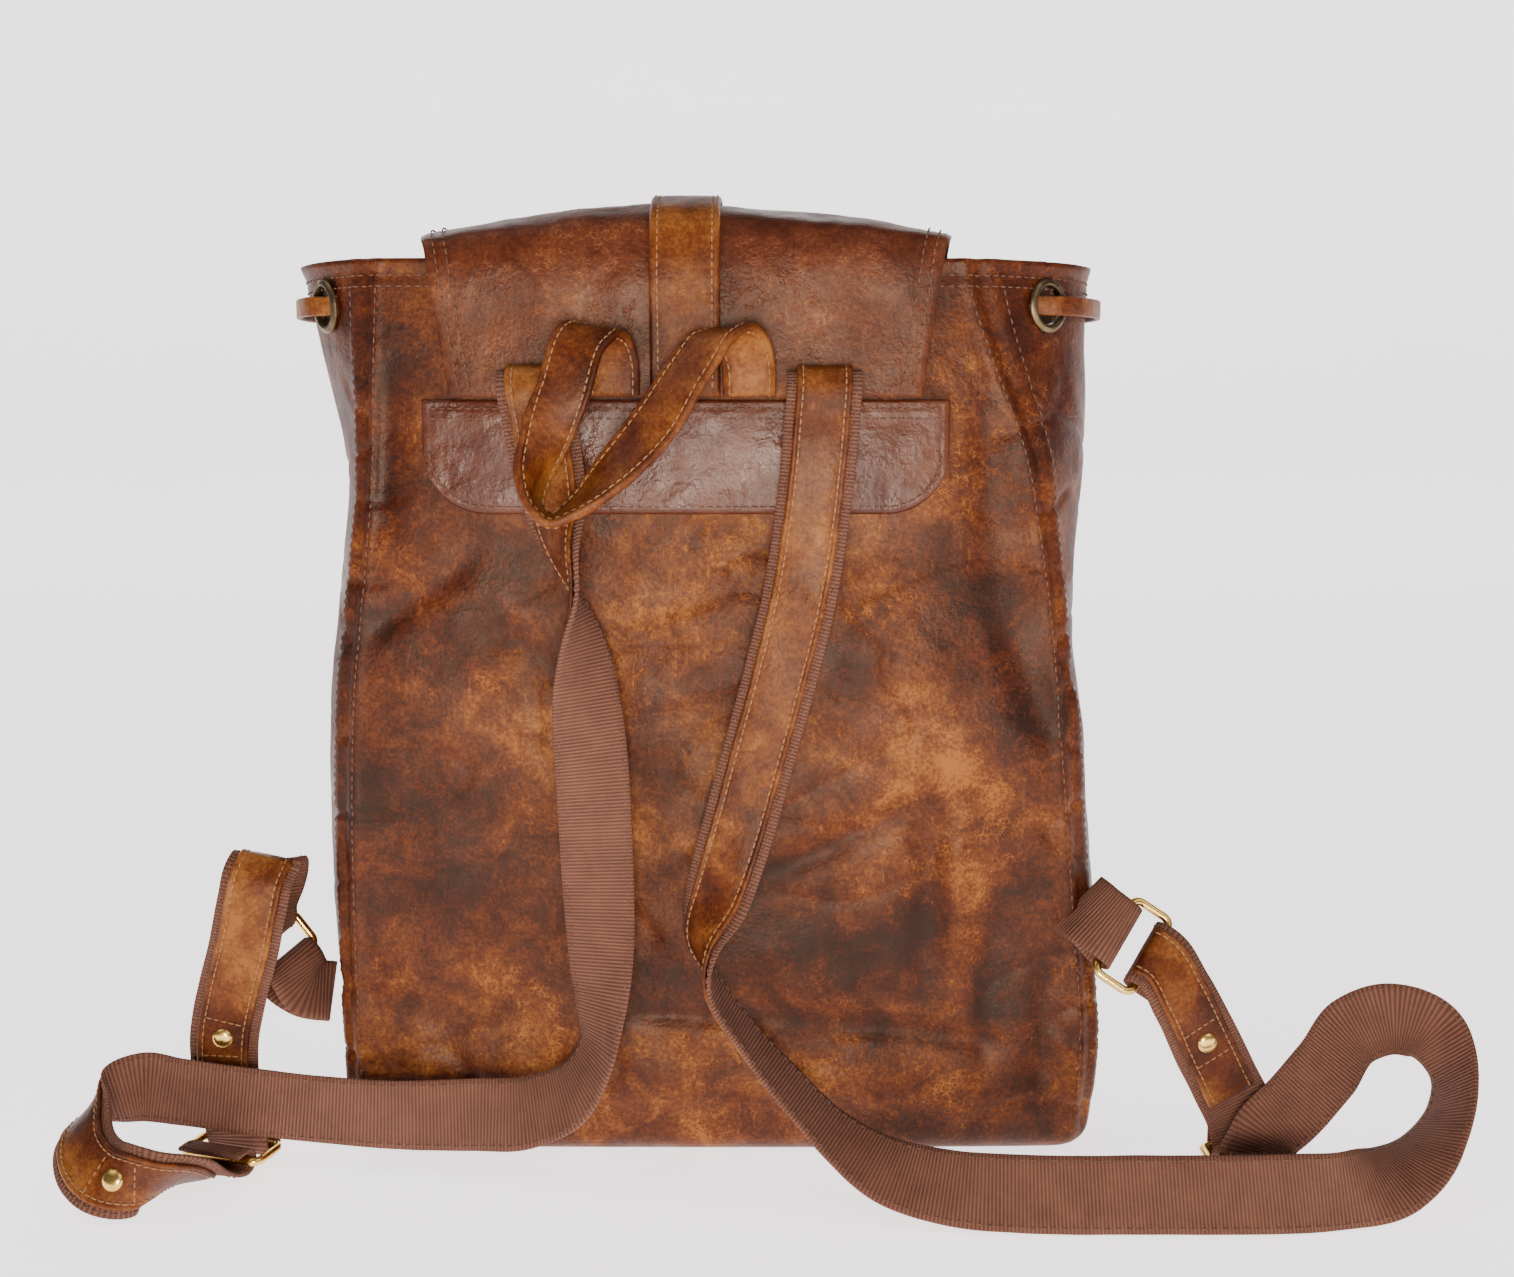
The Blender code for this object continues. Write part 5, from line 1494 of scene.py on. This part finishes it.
LOOKS = {
    "body": leather("body_leather", BODY_STOPS, 1.0, (0.40, 0.60), "tone"),
    "flesh": suede(),
    "yoke": glossy_leather(),
    "flap": leather("flap_leather", FLAP_STOPS, 1.0, (0.36, 0.52), "tone", 0.26),
    "strap": leather("strap_leather", STRAP_STOPS, 0.9, (0.38, 0.56), None, 0.30),
    "webbing": webbing_look(),
    "cotton": cotton(),
    "board": board_look(),
    "brass": metal("gold_brass", (0.86, 0.58, 0.17), (0.66, 0.40, 0.10), (0.14, 0.34)),
    "dull_brass": metal("antique_brass", (0.20, 0.135, 0.07), (0.075, 0.050, 0.030), (0.30, 0.52)),
    "dark_thread": thread_look("brown_thread", (0.085, 0.035, 0.018), (0.150, 0.066, 0.034)),
    "tan_thread": thread_look("tan_thread", (0.230, 0.100, 0.035), (0.360, 0.175, 0.065)),
}


def dress(thing, looks, body="bag"):
    """Gives a piece its materials, and lets it ride on a body."""
    for name in looks.split():
        thing.data.materials.append(LOOKS[name])
    if body:
        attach(thing, body)
    return thing


# ---------------------------------------------------------------- putting it together


def build_bag():
    """Shell with its sewing, lining and yoke."""
    shell, outer, normals, s, heights = make_shell()
    dress(shell, "body flesh")
    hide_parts("back_panel", "front_panel", "left_gusset", "right_gusset", "base_panel")
    rim_rows = []
    for below in RIM_ROWS:
        row = int(np.argmin(np.abs(heights - (RIM_HEIGHT - below))))
        rim_rows.append((outer[row] + normals[row] * 0.0001, normals[row]))
    dress(stitch_rows("rim_stitches", rim_rows, BODY_PITCH), "dark_thread")
    seams = []
    first = int(np.argmin(np.abs(heights - 0.020)))
    last = int(np.argmin(np.abs(heights - 0.374)))
    for corner_s in range(4):
        for aside in (-SEAM_ROW, SEAM_ROW):
            share = aside / (WIDE_SIDE if (aside < 0) == (corner_s in (1, 3)) else NARROW_SIDE)
            column = int(np.argmin(np.abs(s[0] - (corner_s + share) % 4)))
            seams.append((outer[first:last, column], normals[first:last, column]))
    dress(stitch_rows("seam_stitches", seams, BODY_PITCH), "dark_thread")
    lining = make_lining()
    dress(lining, "cotton cotton")
    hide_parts("lining")
    yoke, thread = make_yoke()
    dress(yoke, "yoke flesh")
    dress(thread, "dark_thread")
    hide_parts("yoke_patch")


def build_flap():
    """Flap and centre strap, and both halves of the snap."""
    flap, flap_thread = make_flap()
    strap, strap_thread = make_flap_strap()
    dress(flap, "flap flesh", None)
    dress(flap_thread, "dark_thread", None)
    dress(strap, "strap flesh", None)
    dress(strap_thread, "tan_thread", None)
    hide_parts("flap", "flap_root")
    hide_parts("flap_strap", "flap_strap_root")
    for piece in (flap, flap_thread, strap, strap_thread):
        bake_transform(piece)
    for node, body in (("snap_cap", "flap"), ("snap_base", "bag")):
        low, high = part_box(node)
        height = high[1] - low[1]
        radius = (high[0] - low[0]) / 2
        toward = -1 if node == "snap_cap" else 1
        place = np.array([(low[0] + high[0]) / 2, high[1] if toward < 0 else low[1], (low[2] + high[2]) / 2])
        profile = [
            (0.0001, height),
            (radius * 0.45, height * 0.97),
            (radius * 0.55, height * 0.70),
            (radius * 0.85, height * 0.62),
            (radius * 0.97, height * 0.35),
            (radius, 0.0),
        ]
        snap = turned(f"{node}_disc", profile, place, (0, toward, 0))
        dress(snap, "dull_brass", body)
        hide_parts(node)


def build_straps():
    """Shoulder straps, lower straps, anchor loops and the four rings."""
    for index, (name, stations) in enumerate(strap_routes().items()):
        webbing, facing, thread, hem_thread, cap = make_strap(name, stations, index)
        dress(webbing, "webbing")
        dress(facing, "strap")
        dress(thread, "tan_thread")
        dress(hem_thread, "dark_thread")
        dress(cap, "brass")
        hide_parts(f"{name}_webbing")
        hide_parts(f"{name}_leather")
        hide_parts(f"{name}_stud")
    anchors = (("left", LEFT_ANCHOR, LEFT_SEAM_WAY), ("right", RIGHT_ANCHOR, RIGHT_SEAM_WAY))
    for side, anchor, seam_way in anchors:
        loop = make_anchor(f"{side}_anchor_webbing", anchor, seam_way)
        dress(loop, "webbing")
        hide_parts(f"{side}_anchor_loop")
        ring = make_ring(f"{side}_anchor_wire", anchor[0], anchor[1], anchor[2])
        dress(ring, "brass", f"{side}_anchor_ring")
        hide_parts(f"{side}_anchor_ring")
    for side, (bar, across, along) in (("left", LEFT_SLIDER), ("right", RIGHT_SLIDER)):
        ring = make_ring(f"{side}_slider_wire", bar, across, along)
        dress(ring, "brass", f"{side}_slider_ring")
        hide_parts(f"{side}_slider_ring")


def build_handle():
    """The grab handle and its stitches."""
    handle, thread = make_handle()
    dress(handle, "strap", None)
    dress(thread, "tan_thread", None)
    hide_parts("handle", "handle_left_end", "handle_right_end")
    for piece in (handle, thread):
        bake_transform(piece)


def build_mouth():
    """Eyelets and drawstring."""
    for eyelet, node in zip(make_eyelets(), EYELETS):
        dress(eyelet, "dull_brass")
        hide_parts(node)
    thong, sleeve = make_drawstring()
    dress(thong, "strap")
    dress(sleeve, "strap flesh")
    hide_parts("drawstring")
    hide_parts("drawstring_slider")


def studio():
    """A pale floor running up into a pale wall, the camera, and soft light mostly from the camera's side."""
    scene = bpy.context.scene
    profile = [(-4.0, 0.0), (3.0, 0.0), (3.5, 0.04), (3.9, 0.22), (4.15, 0.6), (4.2, 1.2), (4.2, 4.0)]
    xs = np.linspace(-5.0, 5.0, 3)
    points = [[(x, y, z - 0.0004) for x in xs] for y, z in profile]
    floor = new_object("studio_floor", points, grid_faces(len(profile), 3))
    look = Look("studio_cloth", 0.9)
    colour = look.ramp(look.noise(3.0, 2), [(0.3, (0.86, 0.82, 0.82)), (0.7, (0.90, 0.86, 0.86))])
    look.shader.inputs["Emission Color"].default_value = (1.0, 0.955, 0.955, 1)
    look.shader.inputs["Emission Strength"].default_value = 1.9
    floor.data.materials.append(look.finish(colour))
    lamps = [
        ("key", (0.02, -1.00, 0.24), 0.26, 8.5, (1.0, 0.95, 0.90)),
        ("fill", (0.9, -0.7, 1.3), 1.2, 6.0, (1.0, 0.98, 0.97)),
        ("top", (-0.8, -0.2, 1.5), 1.3, 6.0, (0.99, 0.98, 1.0)),
    ]
    for name, place, size, power, colour in lamps:
        light = bpy.data.lights.new(f"studio_{name}", "AREA")
        light.shape = "DISK"
        light.size = size
        light.energy = power
        light.color = colour
        lamp = bpy.data.objects.new(f"studio_{name}", light)
        lamp.location = place
        lamp.rotation_euler = (Vector((0, 0, 0.18)) - Vector(place)).to_track_quat("-Z", "Y").to_euler()
        scene.collection.objects.link(lamp)
    world = bpy.data.worlds.new("studio_world")
    world.use_nodes = True
    background = world.node_tree.nodes["Background"]
    background.inputs["Color"].default_value = (1.0, 0.97, 0.97, 1)
    background.inputs["Strength"].default_value = 0.16
    scene.world = world
    camera_data = bpy.data.cameras.new("camera")
    camera_data.lens = CAMERA_LENS
    camera_data.sensor_width = 36
    camera_data.clip_start = 0.01
    camera = bpy.data.objects.new("camera", camera_data)
    camera.location = CAMERA_PLACE
    camera.rotation_euler = Euler((radians(90 - CAMERA_PITCH), 0, 0))
    scene.collection.objects.link(camera)
    scene.camera = camera


build_bag()
build_flap()
build_straps()
build_handle()
build_mouth()
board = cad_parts["base_board"]
board.data.materials.clear()
board.data.materials.append(LOOKS["board"])
studio()
